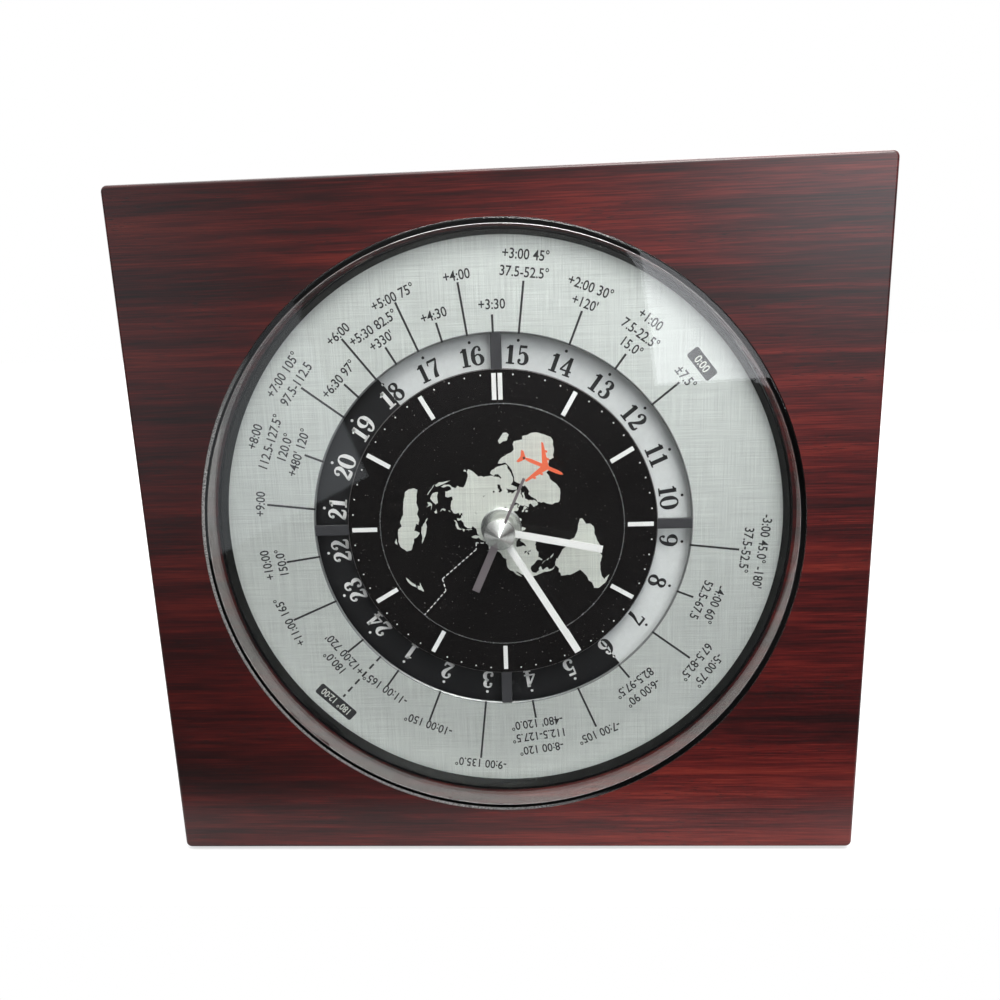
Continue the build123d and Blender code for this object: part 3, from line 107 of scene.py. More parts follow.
class Tree:
    """The shader nodes of a material or world, made by short calls."""

    def __init__(self, owner):
        owner.use_nodes = True
        self.nodes = owner.node_tree.nodes
        self.links = owner.node_tree.links

    def node(self, kind):
        return self.nodes.new("ShaderNode" + kind)

    def feed(self, socket, value):
        """Sets a socket to a number or a colour, or links it."""
        if isinstance(value, (int, float)):
            socket.default_value = value
        elif isinstance(value, tuple):
            socket.default_value = (*value, 1)
        else:
            self.links.new(value, socket)

    def position(self, source="Object"):
        return self.node("TexCoord").outputs[source]

    def axes(self, source="Object"):
        split = self.node("SeparateXYZ")
        self.links.new(self.position(source), split.inputs["Vector"])
        return [split.outputs[axis] for axis in "XYZ"]

    def noise(self, scale, detail=4.0, rough=0.5, distortion=0.0, move=(0, 0, 0)):
        mapping = self.node("Mapping")
        mapping.inputs["Scale"].default_value = scale
        mapping.inputs["Location"].default_value = move
        self.links.new(self.position(), mapping.inputs["Vector"])
        texture = self.node("TexNoise")
        self.feed(texture.inputs["Scale"], 1.0)
        self.feed(texture.inputs["Detail"], detail)
        self.feed(texture.inputs["Roughness"], rough)
        self.feed(texture.inputs["Distortion"], distortion)
        self.links.new(mapping.outputs["Vector"], texture.inputs["Vector"])
        return texture.outputs["Fac"]

    def ramp(self, value, stops):
        """Colour ramp from (place, colour) stops."""
        node = self.node("ValToRGB")
        elements = node.color_ramp.elements
        while len(elements) > 1:
            elements.remove(elements[-1])
        elements[0].position = stops[0][0]
        elements[0].color = (*stops[0][1], 1)
        for position, color in stops[1:]:
            elements.new(position).color = (*color, 1)
        self.links.new(value, node.inputs["Fac"])
        return node.outputs["Color"]

    def span(self, value, low, high, to_low=0.0, to_high=1.0):
        """The value's span from low to high, spread over another span and held at its ends."""
        node = self.node("MapRange")
        keys = ("From Min", "From Max", "To Min", "To Max")
        for key, number in zip(keys, (low, high, to_low, to_high)):
            self.feed(node.inputs[key], number)
        self.links.new(value, node.inputs["Value"])
        return node.outputs["Result"]

    def calc(self, operation, first, second=None):
        node = self.node("Math")
        node.operation = operation
        self.feed(node.inputs[0], first)
        if second is not None:
            self.feed(node.inputs[1], second)
        return node.outputs["Value"]

    def plus(self, first, second):
        return self.calc("ADD", first, second)

    def minus(self, first, second):
        return self.calc("SUBTRACT", first, second)

    def times(self, first, second):
        return self.calc("MULTIPLY", first, second)

    def most(self, first, second):
        return self.calc("MAXIMUM", first, second)

    def mix(self, factor, first, second, blend="MIX"):
        node = self.node("Mix")
        node.data_type = "RGBA"
        node.blend_type = blend
        for key, value in (("Factor", factor), ("A", first), ("B", second)):
            self.feed([s for s in node.inputs if s.name == key and s.enabled][0], value)
        return [s for s in node.outputs if s.enabled][0]

    def shade(self, color, level):
        """A colour made darker by a level from 0 to 1."""
        return self.mix(1.0, color, self.ramp(level, ((0.0, grey(0.0)), (1.0, grey(1.0)))), "MULTIPLY")

    def straight_through(self, path):
        """One for a ray that only glass has bent on its way from the camera."""
        direct = self.calc("LESS_THAN", self.plus(path["Diffuse Depth"], path["Glossy Depth"]), 0.5)
        return self.times(path["Is Transmission Ray"], direct)


class Finish(Tree):
    """A new material."""

    def __init__(self, name, base=grey(0.5), roughness=0.5, metallic=0.0):
        self.material = bpy.data.materials.new(name)
        super().__init__(self.material)
        self.shader = self.nodes["Principled BSDF"]
        self.set("Base Color", base)
        self.set("Roughness", roughness)
        self.set("Metallic", metallic)

    def set(self, key, value):
        self.feed(self.shader.inputs[key], value)

    def bump(self, height, distance):
        node = self.node("Bump")
        self.feed(node.inputs["Distance"], distance)
        self.feed(node.inputs["Strength"], 1.0)
        self.links.new(height, node.inputs["Height"])
        self.set("Normal", node.outputs["Normal"])

    def radius(self):
        """Distance from the dial's middle seen from the front, and the place across and up from it."""
        across, _, z = self.axes()
        up = self.minus(z, dial_z)
        squares = self.plus(self.times(across, across), self.times(up, up))
        return self.calc("SQRT", squares), across, up

    def brushed(self, low, high):
        """Fine scratches across and up, as on a cross-brushed sheet."""
        across = self.noise((60, 400, 5600), rough=0.65)
        upward = self.noise((5600, 400, 60), rough=0.65)
        cloth = self.plus(across, upward)
        self.bump(cloth, 0.02 * mm)
        return self.span(cloth, 0.75, 1.25, low, high)


# Finishes

def rosewood(name, along):
    """Dark red-brown veneer: bands, fine dark streaks and short pores along the grain, under lacquer, with
    painted light across it: darker at the left, lighter at the right.
    """
    f = Finish(name, roughness=0.45)
    scales = {"X": lambda a, b: (a, b, b), "Z": lambda a, b: (b, b, a)}[along]
    bands = f.noise(scales(3.5, 36), 3, distortion=0.7)
    streaks = f.noise(scales(13, 420), 5, 0.65, move=(3, 1, 2))
    fibres = f.noise(scales(55, 2400), 2, 0.6, move=(5, 3, 1))
    fine = f.noise(scales(230, 3000), 2, move=(1, 4, 7))
    clumps = f.noise(scales(25, 140), 2, move=(4, 2, 6))
    patches = f.noise((11, 9, 9), 2, move=(2, 0, 5))
    broad = f.plus(f.times(bands, 0.38), f.times(streaks, 0.34))
    color = f.ramp(f.plus(broad, f.times(fibres, 0.28)), (
        (0.40, (0.0110, 0.0012, 0.0015)),
        (0.47, (0.0450, 0.0030, 0.0034)),
        (0.53, (0.1050, 0.0075, 0.0070)),
        (0.58, (0.1700, 0.0160, 0.0115)),
        (0.64, (0.2500, 0.0300, 0.0180)),
    ))
    radius, across, up = f.radius()
    # Random patches of tone, times painted light: painted shade halves the veneer at the left, and a painted
    # sheen lightens it at the right.
    patches_and_painted_light = f.times(f.span(patches, 0.3, 0.7, 0.75, 1.15), f.span(across, -0.10, 0.09, 0.50, 1.10))
    color = f.shade(color, patches_and_painted_light)
    pores = f.times(f.span(fine, 0.60, 0.66), f.span(clumps, 0.42, 0.62))
    color = f.mix(f.times(pores, 0.85), color, (0.007, 0.003, 0.003))
    bore = f.calc("LESS_THAN", radius, bore_radius)
    f.set("Base Color", f.mix(bore, color, (0.006, 0.005, 0.005)))
    f.set("Roughness", f.span(streaks, 0.3, 0.7, 0.52, 0.40))
    f.set("Specular IOR Level", 0.12)
    f.set("Coat Weight", 1.0)
    f.set("Coat IOR", 1.60)
    f.set("Coat Roughness", 0.30)
    f.bump(f.minus(f.times(fibres, 0.35), pores), 0.03 * mm)
    return f.material


def silver_dial(name):
    """Cross-brushed silver with faint clouds."""
    f = Finish(name, roughness=0.5, metallic=0.75)
    tone = f.brushed(0.70, 1.02)
    cloud = f.noise(grey(18), 2)
    level = f.times(tone, f.span(cloud, 0.3, 0.7, 0.96, 1.04))
    f.set("Base Color", f.shade((0.86, 0.90, 0.865), level))
    return f.material


def silver_print(name):
    """The dial's silver where it shows between the map's black."""
    f = Finish(name, roughness=0.5, metallic=0.5)
    f.set("Base Color", f.shade((0.87, 0.90, 0.83), f.brushed(0.68, 1.0)))
    return f.material


def speckled(name, base, spread, roughness, metallic=0.0, scale=900, rise=0.01, coat=0.0, specular=0.5):
    """A finish with slight variation of colour and gloss, and a fine surface. Its rise is in millimetres."""
    f = Finish(name, base, roughness, metallic)
    fine = f.noise(grey(scale), 3)
    broad = f.noise(grey(40), 2)
    low = tuple(c * (1 - spread) for c in base)
    high = tuple(min(1.0, c * (1 + spread)) for c in base)
    f.set("Base Color", f.mix(f.span(broad, 0.3, 0.7), low, high))
    f.set("Roughness", f.span(fine, 0.3, 0.7, roughness * 0.85, roughness * 1.15))
    f.set("Specular IOR Level", specular)
    f.bump(fine, rise * mm)
    if coat:
        f.set("Coat Weight", coat)
        f.set("Coat Roughness", 0.05)
    return f.material


def gloss_black(name):
    """Gloss black print with a little dust."""
    black = (0.005, 0.0042, 0.0042)
    f = Finish(name, black, 0.14)
    dust = f.noise(grey(1500), 2, 0.7)
    f.set("Base Color", f.mix(f.span(dust, 0.70, 0.74), black, (0.22, 0.21, 0.20)))
    smear = f.noise(grey(60), 3)
    f.set("Roughness", f.span(smear, 0.3, 0.7, 0.11, 0.20))
    return f.material


def turned_metal(name, base, roughness, grooves=0.0):
    """Metal with fine rings from the lathe, which draw highlights out into rays."""
    f = Finish(name, base, roughness, 1.0)
    rings = f.node("TexNoise")
    rings.noise_dimensions = "1D"
    f.feed(rings.inputs["Scale"], 9000)
    f.feed(rings.inputs["Detail"], 3)
    f.feed(rings.inputs["W"], f.radius()[0])
    f.set("Roughness", f.span(rings.outputs["Fac"], 0.3, 0.7, roughness * 0.7, roughness * 1.3))
    f.bump(rings.outputs["Fac"], 0.004 * mm)
    if grooves:
        f.set("Anisotropic", grooves)
        tangent = f.node("Tangent")
        tangent.direction_type = "RADIAL"
        tangent.axis = "Y"
        f.set("Tangent", tangent.outputs["Tangent"])
    return f.material


def half_turn(name, day, night, roughness):
    """One colour by day and one by night, in halves of the numbered disc."""
    f = Finish(name, roughness=roughness)
    radius, across, up = f.radius()
    noon = compass(hour_angle(12))[0]
    toward = f.plus(f.times(across, noon.x), f.times(up, noon.y))
    side = f.calc("GREATER_THAN", toward, 0.0)
    grain = f.noise(grey(900), 2)
    f.set("Base Color", f.shade(f.mix(side, night, day), f.span(grain, 0.3, 0.7, 0.93, 1.0)))
    f.bump(grain, 0.004 * mm)
    return f.material


def clear_crystal(name):
    """Clear moulded acrylic, with a painted highlight at the lower left of its edge: a pale grainy rim with
    wear. It lets the lamps through.
    """
    clear = (0.985, 0.992, 0.990)
    pale_edge_skin = 1.15 * mm
    pale_edge_depth = 1.6 * mm
    f = Finish(name, clear, 0.015)
    f.set("IOR", 1.49)
    radius, across, up = f.radius()
    outside = f.calc("GREATER_THAN", radius, crystal_radius - pale_edge_skin)
    before = f.calc("LESS_THAN", f.axes()[1], edge_y + pale_edge_depth)
    grains = f.noise(grey(2600), 2, 0.7)
    leaning = f.plus(f.times(across, -0.8), f.times(up, -0.6))
    lower_left = f.span(leaning, 0.25 * crystal_radius, 0.75 * crystal_radius)
    # Painted highlight: a pale rim on the outer skin of the front edge, at the lower left only, broken up by
    # grains of wear; it also takes away some of the clearness.
    where = f.times(f.times(outside, before), lower_left)
    wear_and_painted_highlight = f.times(where, f.span(grains, 0.35, 0.6, 0.25, 0.7))
    smear = f.noise(grey(35), 4, 0.6)
    f.set("Base Color", f.mix(wear_and_painted_highlight, clear, (0.30, 0.27, 0.25)))
    f.set("Transmission Weight", f.minus(1.0, wear_and_painted_highlight))
    f.set("Roughness", f.plus(f.span(smear, 0.45, 0.8, 0.0, 0.03), f.times(wear_and_painted_highlight, 0.5)))
    through = f.node("BsdfTransparent")
    f.feed(through.inputs["Color"], (0.96, 0.97, 0.965))
    blend = f.node("MixShader")
    f.feed(blend.inputs["Fac"], f.node("LightPath").outputs["Is Shadow Ray"])
    f.feed(blend.inputs[1], f.shader.outputs["BSDF"])
    f.feed(blend.inputs[2], through.outputs["BSDF"])
    f.feed(f.nodes["Material Output"].inputs["Surface"], blend.outputs["Shader"])
    return f.material


def felt_cloth(name):
    f = Finish(name, (0.02, 0.05, 0.03), 0.95)
    fibres = f.noise((1400, 1400, 500), 6, 0.75, 1.5)
    f.set("Base Color", f.ramp(fibres, ((0.3, (0.010, 0.028, 0.016)), (0.7, (0.035, 0.085, 0.050)))))
    f.set("Sheen Weight", 0.4)
    f.bump(fibres, 0.15 * mm)
    return f.material


def wound_wire(name):
    """Fine enamelled turns round the bobbin."""
    f = Finish(name, (0.55, 0.16, 0.06), 0.3, 0.9)
    wave = f.node("TexWave")
    wave.bands_direction = "Z"
    f.feed(wave.inputs["Scale"], 1400)
    f.feed(wave.inputs["Distortion"], 0.4)
    f.feed(wave.inputs["Vector"], f.position())
    turns = wave.outputs["Fac"]
    f.set("Base Color", f.ramp(turns, ((0.0, (0.18, 0.04, 0.015)), (1.0, (0.62, 0.20, 0.08)))))
    f.bump(turns, 0.03 * mm)
    return f.material


wood_across = rosewood("case_wood_across", "X")
wood_upright = rosewood("case_wood_upright", "Z")
dark_print = speckled("dark_print", (0.018, 0.018, 0.020), 0.1, 0.5)
white_print = speckled("white_print", (0.80, 0.80, 0.79), 0.03, 0.5)
silver_land = silver_print("silver_land")
number_ink = half_turn("number_ink", (0.012, 0.012, 0.013), (0.80, 0.80, 0.79), 0.45)
edge_metal = speckled("edge_metal", (0.50, 0.51, 0.51), 0.05, 0.25, 0.9)
cut_edge = speckled("cut_edge", (0.26, 0.27, 0.27), 0.05, 0.42, 0.7)
dark_edge = speckled("dark_edge", (0.14, 0.13, 0.13), 0.05, 0.3, 0.5)
bridge_grey = speckled("bridge_grey", (0.040, 0.040, 0.044), 0.08, 0.35)
finishes = {
    "case_wood": wood_across,
    "block_wood": speckled("block_wood", (0.42, 0.27, 0.15), 0.25, 0.7, scale=400, rise=0.05),
    "felt": felt_cloth("felt"),
    "crystal": clear_crystal("crystal"),
    "rim": speckled("rim", grey(0.003), 0.1, 0.06, specular=0.12),
    "dial_silver": silver_dial("dial_silver"),
    "map_black": gloss_black("map_black"),
    "disc_print": half_turn("disc_print", (0.68, 0.70, 0.70), (0.007, 0.007, 0.008), 0.38),
    "chrome": turned_metal("chrome", (0.84, 0.86, 0.84), 0.2, grooves=0.6),
    "hand_white": speckled("hand_white", (0.82, 0.82, 0.81), 0.02, 0.35, coat=0.3),
    "hand_grey": speckled("hand_grey", (0.19, 0.165, 0.175), 0.06, 0.35, 0.3),
    "airliner_red": speckled("airliner_red", (0.80, 0.145, 0.065), 0.06, 0.42, coat=0.2),
    "black_plastic": speckled("black_plastic", (0.020, 0.020, 0.021), 0.15, 0.5, scale=1600, rise=0.03),
    "movement_plastic": speckled(
        "movement_plastic", (0.035, 0.036, 0.038), 0.12, 0.42, scale=1600, rise=0.02
    ),
    "gear_plastic": speckled("gear_plastic", (0.70, 0.69, 0.63), 0.05, 0.4),
    "brass": turned_metal("brass", (0.76, 0.55, 0.26), 0.24),
    "steel": turned_metal("steel", (0.56, 0.56, 0.57), 0.26),
    "magnet": speckled("magnet", (0.10, 0.10, 0.11), 0.1, 0.4, 0.8),
    "copper": wound_wire("copper"),
    "board_green": speckled("board_green", (0.03, 0.16, 0.07), 0.2, 0.35, coat=0.3),
    "chip_black": speckled("chip_black", (0.02, 0.02, 0.022), 0.1, 0.45),
    "cell_sleeve": speckled("cell_sleeve", (0.13, 0.13, 0.14), 0.1, 0.3, 0.5, coat=0.3),
}
for node in nodes.values():
    for index, material in enumerate(node.data.materials):
        node.data.materials[index] = finishes[material.name.split(".")[0]]
for name in ("left_board", "right_board"):
    nodes[name].data.materials[0] = wood_upright


# Mesh helpers

def mesh_piece(name, vertices, faces, material, body, smooth_angle=None):
    mesh = bpy.data.meshes.new(name)
    mesh.from_pydata(vertices, [], faces)
    mesh.validate()
    mesh.materials.append(material)
    if smooth_angle is not None:
        mesh.shade_smooth()
        mesh.set_sharp_from_angle(angle=math.radians(smooth_angle))
    piece = bpy.data.objects.new(name, mesh)
    bpy.context.scene.collection.objects.link(piece)
    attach(piece, body)
    return piece


def face_outwards(piece):
    """Turns all faces outwards."""
    work = bmesh.new()
    work.from_mesh(piece.data)
    bmesh.ops.recalc_face_normals(work, faces=work.faces)
    work.to_mesh(piece.data)
    work.free()


def arc_points(middle, radius, start, end, count):
    """Points on an arc of a profile, both ends included, in degrees."""
    turns = [math.radians(start + (end - start) * i / count) for i in range(count + 1)]
    return [(middle[0] + radius * math.cos(t), middle[1] + radius * math.sin(t)) for t in turns]


def lathe(name, profile, material, body, smooth_angle=25, segments=288, closed=True):
    """Turns a profile of (radius, y) points about the dial's axis. Points on the axis become one."""
    vertices = []
    rings = []
    for radius, y in profile:
        if radius == 0:
            rings.append([len(vertices)] * segments)
            vertices.append((0, y, dial_z))
            continue
        rings.append(list(range(len(vertices), len(vertices) + segments)))
        for i in range(segments):
            angle = math.tau * i / segments
            vertices.append((radius * math.sin(angle), y, dial_z + radius * math.cos(angle)))
    faces = []
    count = len(profile)
    for a in range(count if closed else count - 1):
        first, second = rings[a], rings[(a + 1) % count]
        for i in range(segments):
            j = (i + 1) % segments
            face = [first[i], first[j], second[j], second[i]]
            face = [v for k, v in enumerate(face) if v not in face[:k]]
            if len(face) > 2:
                faces.append(face)
    piece = mesh_piece(name, vertices, faces, material, body, smooth_angle)
    face_outwards(piece)
    return piece


def text_shapes(text):
    """Flat faces of a text one unit high, with its middle at the origin."""
    curve = bpy.data.curves.new("letters", "FONT")
    curve.body = text
    curve.align_x = "CENTER"
    curve.align_y = "CENTER"
    curve.resolution_u = 3
    curve.offset = 0.012
    holder = bpy.data.objects.new("letters", curve)
    bpy.context.scene.collection.objects.link(holder)
    bpy.context.view_layer.update()
    mesh = bpy.data.meshes.new_from_object(holder)
    points = [(v.co.x, v.co.y) for v in mesh.vertices]
    faces = [tuple(f.vertices) for f in mesh.polygons]
    bpy.data.objects.remove(holder)
    bpy.data.curves.remove(curve)
    bpy.data.meshes.remove(mesh)
    return points, faces


class Print:
    """Flat shapes on the dial, gathered in one thin piece."""

    digit_share = 0.70

    def __init__(self):
        self.vertices = []
        self.faces = []

    def add(self, points, faces):
        """Faces over (across, up) points, each turned to the front."""
        start = len(self.vertices)
        self.vertices += points
        for face in faces:
            corners = [points[i] for i in face]
            area = sum(a[0] * b[1] - b[0] * a[1] for a, b in zip(corners, corners[1:] + corners[:1]))
            order = face if area > 0 else reversed(face)
            self.faces.append(tuple(start + i for i in order))

    def shape(self, outline):
        """A flat shape inside an outline."""
        self.add(outline, tessellate_polygon([[Vector((x, z, 0)) for x, z in outline]]))

    def strip(self, line, widths):
        """A band along a line, as wide as widths say at each point."""
        left, right = [], []
        for i, (x, z) in enumerate(line):
            before = line[max(0, i - 1)]
            after = line[min(len(line) - 1, i + 1)]
            along = Vector((after[0] - before[0], after[1] - before[1]))
            if along.length == 0:
                continue
            side = Vector((-along.y, along.x)).normalized() * widths[i] / 2
            left.append((x + side.x, z + side.y))
            right.append((x - side.x, z - side.y))
        start = len(self.vertices)
        count = len(left)
        self.vertices += left + right
        for i in range(start, start + count - 1):
            self.faces.append((i, i + count, i + count + 1, i + 1))

    def bar(self, start, end, clock_angle, width, shift=0.0):
        """A straight bar between two radii that points at the dial's middle."""
        out, side = compass(clock_angle)
        low, high = shift - width / 2, shift + width / 2
        corners = ((start, low), (end, low), (end, high), (start, high))
        self.shape([tuple(out * reach + side * across) for reach, across in corners])

    def spot(self, middle, radius, sides=14):
        """A round dot."""
        self.shape(arc_points(middle, radius, 0, 360, sides)[:-1])

    def pill(self, radius, clock_angle, length, height, corner=0.7 * mm):
        """A rounded plate along the round of the dial."""
        out, right = compass(clock_angle)
        outline = []
        for across, up, start in ((1, 1, 0), (-1, 1, 90), (-1, -1, 180), (1, -1, 270)):
            middle = (across * (length / 2 - corner), up * (height / 2 - corner))
            outline += arc_points(middle, corner, start, start + 90, 6)
        self.shape([tuple(out * (radius + y) + right * x) for x, y in outline])

    def label(self, text, radius, clock_angle, height, narrow=0.86):
        """A label along the round of the dial, with its tops outwards."""
        points, faces = text_shapes(text)
        out, right = compass(clock_angle)
        scale = height / self.digit_share
        heights = [y for x, y in points]
        middle = (min(heights) + max(heights)) / 2
        self.add([
            tuple(out * (radius + (y - middle) * scale) + right * (x * scale * narrow)) for x, y in points
        ], faces)

    def finish(self, name, y, material, body):
        """Makes the piece: a front a little proud of y, walls, and a back sunk in the surface."""
        front = [(x, y - print_rise, dial_z + z) for x, z in self.vertices]
        back = [(x, y + print_sink, dial_z + z) for x, z in self.vertices]
        count = len(front)
        edges = dict.fromkeys(edge for face in self.faces for edge in zip(face, face[1:] + face[:1]))
        walls = [(b, a, a + count, b + count) for a, b in edges if (b, a) not in edges]
        return mesh_piece(name, front + back, self.faces + walls, material, body)


# Replaced pieces: the same shapes as the solids, turned in finer steps

def bulge(chord, rise, apex, steps):
    """Points on a round bulge of a rise over a chord, from the axis outwards."""
    sphere = (chord ** 2 + rise ** 2) / (2 * rise)
    radii = [chord * i / steps for i in range(steps + 1)]
    return [(radius, apex + sphere - math.sqrt(sphere ** 2 - radius ** 2)) for radius in radii]


def crystal_profile():
    inner = crystal_radius - crystal_wall
    seat_y = front_y + 5.0 * mm
    flange_y = front_y + 6.8 * mm
    round_edge = 0.7 * mm
    inner_edge = 0.3 * mm
    rise = 5.3 * mm
    chord = crystal_radius - round_edge
    inner_chord = inner - inner_edge
    apex = edge_y - rise
    steps = 28
    profile = [
        (inner, flange_y),
        (crystal_flange, flange_y),
        (crystal_flange, seat_y),
        (crystal_radius, seat_y),
    ]
    profile += arc_points((chord, edge_y + round_edge), round_edge, 0, -90, 6)
    profile += bulge(chord, rise, apex, steps)[-2::-1]
    profile += bulge(inner_chord, rise, apex + crystal_wall, steps)
    profile += arc_points((inner_chord, edge_y + crystal_wall + inner_edge), inner_edge, -90, 0, 5)[1:]
    return profile


crystal_glass = lathe("crystal_glass", crystal_profile(), finishes["crystal"], "case", 40)
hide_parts("crystal")

rim_outer = rim_high.x
rim_lip = 0.4 * mm
rim_profile = [
    (dial_radius, rim_high.y),
    (rim_outer, rim_high.y),
    (rim_outer, rim_low.y),
    (rim_outer - rim_lip, rim_low.y),
]
rim_band = lathe("rim_band", rim_profile, finishes["rim"], "case")
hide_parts("rim_ring")

cap_radius = 4.5 * mm
cap_rim_y = cap_high.y - 0.8 * mm
cap_bevel = 0.1 * mm
cap_shoulder = 0.12 * mm
cap_tip = 0.15 * mm
cap_profile = [
    (0, cap_high.y),
    (cap_radius - cap_bevel, cap_high.y),
    (cap_radius, cap_high.y - cap_bevel),
    (cap_radius, cap_rim_y),
    (cap_radius - cap_shoulder, cap_rim_y - cap_shoulder),
    (cap_tip, cap_low.y + 0.4 * cap_tip),
    (0, cap_low.y),
]
cap_cone = lathe(
    "cap_cone", cap_profile, finishes["chrome"], "second_arbor", 10, segments=192, closed=False
)
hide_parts("hub_cap")


# Prints on the silver dial. Each zone has a number of hours from the first meridian.
# Its leader starts at a share of the dial's radius, and its labels stand in numbered rows.
row_shares = {1: 0.940, 2: 0.883, 3: 0.828, 4: 0.776}
zones = (
    (3, 0.854, {1: "+3:00 45°", 2: "37.5-52.5°"}),
    (2, 0.800, {2: "+2:00 30°", 3: "+120'"}),
    (1, 0.744, {2: "+1:00", 3: "7.5-22.5°", 4: "15.0°"}),
    (0, 0.800, {3: "±7.5°"}),
    (-3, 0.857, {1: "-3:00 45.0° -180'", 2: "37.5-52.5°"}),
    (-4, 0.745, {3: "-4:00 60°", 4: "52.5-67.5"}),
    (-5, 0.854, {1: "-5:00 75°", 2: "67.5-82.5°"}),
    (-6, 0.746, {3: "-6:00 90°", 4: "82.5-97.5°"}),
    (-7, 0.853, {2: "-7:00 105°"}),
    (-8, 0.753, {2: "-8:00 120°", 3: "112.5-127.5°", 4: "-480' 120.0°"}),
    (-9, 0.917, {1: "-9:00 135.0°"}),
    (-10, 0.811, {3: "-10:00 150°"}),
    (-11, 0.764, {4: "-11:00 165°"}),
    (12, 0.761, {3: "180.0°", 4: "+12:00 720'"}),
    (11, 0.863, {2: "+11:00 165°"}),
    (10, 0.808, {2: "+10:00", 3: "150.0°"}),
    (9, 0.858, {2: "+9:00"}),
    (8, 0.752, {1: "+8:00", 2: "112.5-127.5°", 3: "120.0°", 4: "+480' 120°"}),
    (7, 0.862, {1: "+7:00 105°", 2: "97.5-112.5"}),
    (6.5, 0.750, {4: "+6:30 97°"}),
    (6, 0.863, {2: "+6:00"}),
    (5.5, 0.750, {3: "+5:30 82.5°", 4: "+330'"}),
    (5, 0.863, {2: "+5:00 75°"}),
    (4.5, 0.749, {4: "+4:30"}),
    (4, 0.860, {2: "+4:00"}),
    (3.5, 0.742, {4: "+3:30"}),
)
zones_turn = 51.8
date_line_angle = 224.0
date_line_reach = 0.905 * dial_radius
leader_width = 0.62 * mm
label_height = 2.75 * mm


def zone_angle(hours):
    """Clock angle of a zone's leader."""
    return zones_turn - hour_step * hours


leaders = Print()
for hours, share, labels in zones:
    leaders.bar(window_outer, share * dial_radius, zone_angle(hours), leader_width)
dash = 2.2 * mm
dash_gap = 1.3 * mm
reach = window_outer
while reach < date_line_reach:
    leaders.bar(reach, min(reach + dash, date_line_reach), date_line_angle, leader_width)
    reach += dash + dash_gap
leaders.finish("dial_leaders", dial_y, dark_print, "case")

labels_print = Print()
for hours, share, labels in zones:
    for row, text in labels.items():
        labels_print.label(text, row_shares[row] * dial_radius, zone_angle(hours), label_height)
labels_print.finish("dial_labels", dial_y, dark_print, "case")

# Dark plates: text, share of the radius, clock angle, length, height, and the text's height and narrowing
plates = (
    ("0:00", 0.897, zone_angle(0), 9.6 * mm, 3.9 * mm, 2.4 * mm, 0.86),
    ("180° 12:00", 0.940, date_line_angle + 0.4, 14.5 * mm, 4.0 * mm, 2.3 * mm, 0.8),
)
pills = Print()
pill_labels = Print()
for text, share, angle, length, height, text_height, narrow in plates:
    pills.pill(share * dial_radius, angle, length, height)
    pill_labels.label(text, share * dial_radius, angle, text_height, narrow)
pills.finish("dial_plates", dial_y, dark_print, "case")
pill_labels.finish("dial_plate_labels", dial_y - print_rise, silver_land, "case")

# Bars of the twelve hours, a double one at the top, and the minute dots on the black ring
bars = Print()
bar_width = 1.3 * mm
bar_inner = 37.6 * mm
bar_outer = 45.2 * mm
bar_shift = 0.9 * mm
minute_dot = 0.22 * mm
minute_place = 44.9 * mm
for hour in range(12):
    for shift in (0.0,) if hour else (-bar_shift, bar_shift):
        bars.bar(bar_inner, bar_outer, 30 * hour, bar_width, shift)
    for minute in range(1, 5):
        bars.spot(seen(minute_place, 30 * hour + 6 * minute), minute_dot, 10)
bars.finish("dial_bars", dial_y, white_print, "case")

# The dial plate in its finishes: silver sheet, bright window edge, black index ring and dark bridges
edge_cut = 0.3 * mm
edge_band = 0.5 * mm
sheet_inner = window_outer + edge_band
index_outer = window_inner - edge_cut


def flat_profile(inner, outer):
    """Section of the dial plate between two radii."""
    return [(inner, dial_y), (outer, dial_y), (outer, dial_back), (inner, dial_back)]


dial_sheet = lathe(
    "dial_sheet", flat_profile(sheet_inner, dial_edge), finishes["dial_silver"], "case"
)
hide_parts("dial_plate")
window_edge_profile = [
    (window_outer, dial_back),
    (window_outer, dial_y + edge_cut),
    (window_outer + edge_cut, dial_y),
    (sheet_inner, dial_y),
    (sheet_inner, dial_back),
]
lathe("window_edge", window_edge_profile, cut_edge, "case", 20)
index_profile = flat_profile(bushing_bore, index_outer)
lathe("index_ring", index_profile, finishes["map_black"], "case")
index_edge_profile = [
    (index_outer, dial_y),
    (window_inner, dial_y + edge_cut),
    (window_inner, dial_back),
    (index_outer, dial_back),
]
lathe("index_edge", index_edge_profile, dark_edge, "case", 20)


def window_bridges():
    """Four bars across the window, with small chamfers."""
    half = bridge_width / 2
    cut = 0.15 * mm
    low = dial_y + 0.04 * mm
    section = (
        (-half, dial_back), (-half, low + cut), (cut - half, low),
        (half - cut, low), (half, low + cut), (half, dial_back),
    )
    count = len(section)
    vertices = []
    faces = []
    for turn in range(0, 360, 90):
        out, side = compass(turn)
        start = len(vertices)
        for reach in (index_outer, window_outer + edge_cut):
            for across, y in section:
                spot = out * reach + side * across
                vertices.append((spot.x, y, dial_z + spot.y))
        for i in range(count):
            j = (i + 1) % count
            faces.append((start + i, start + j, start + count + j, start + count + i))
        faces.append(tuple(range(start, start + count)))
        faces.append(tuple(range(start + count, start + 2 * count)))
    face_outwards(mesh_piece("window_bridges", vertices, faces, bridge_grey, "case"))


window_bridges()

# A thin rim round the map that catches the light
map_rim = 0.28 * mm
map_rim_y = map_y - 0.06 * mm
map_edge_profile = [
    (map_radius - map_rim, map_y + print_sink),
    (map_radius - map_rim, map_rim_y),
    (map_radius, map_rim_y),
    (map_radius + 0.05 * mm, map_y + print_sink),
]
lathe("map_edge", map_edge_profile, edge_metal, "case", 20, segments=240)

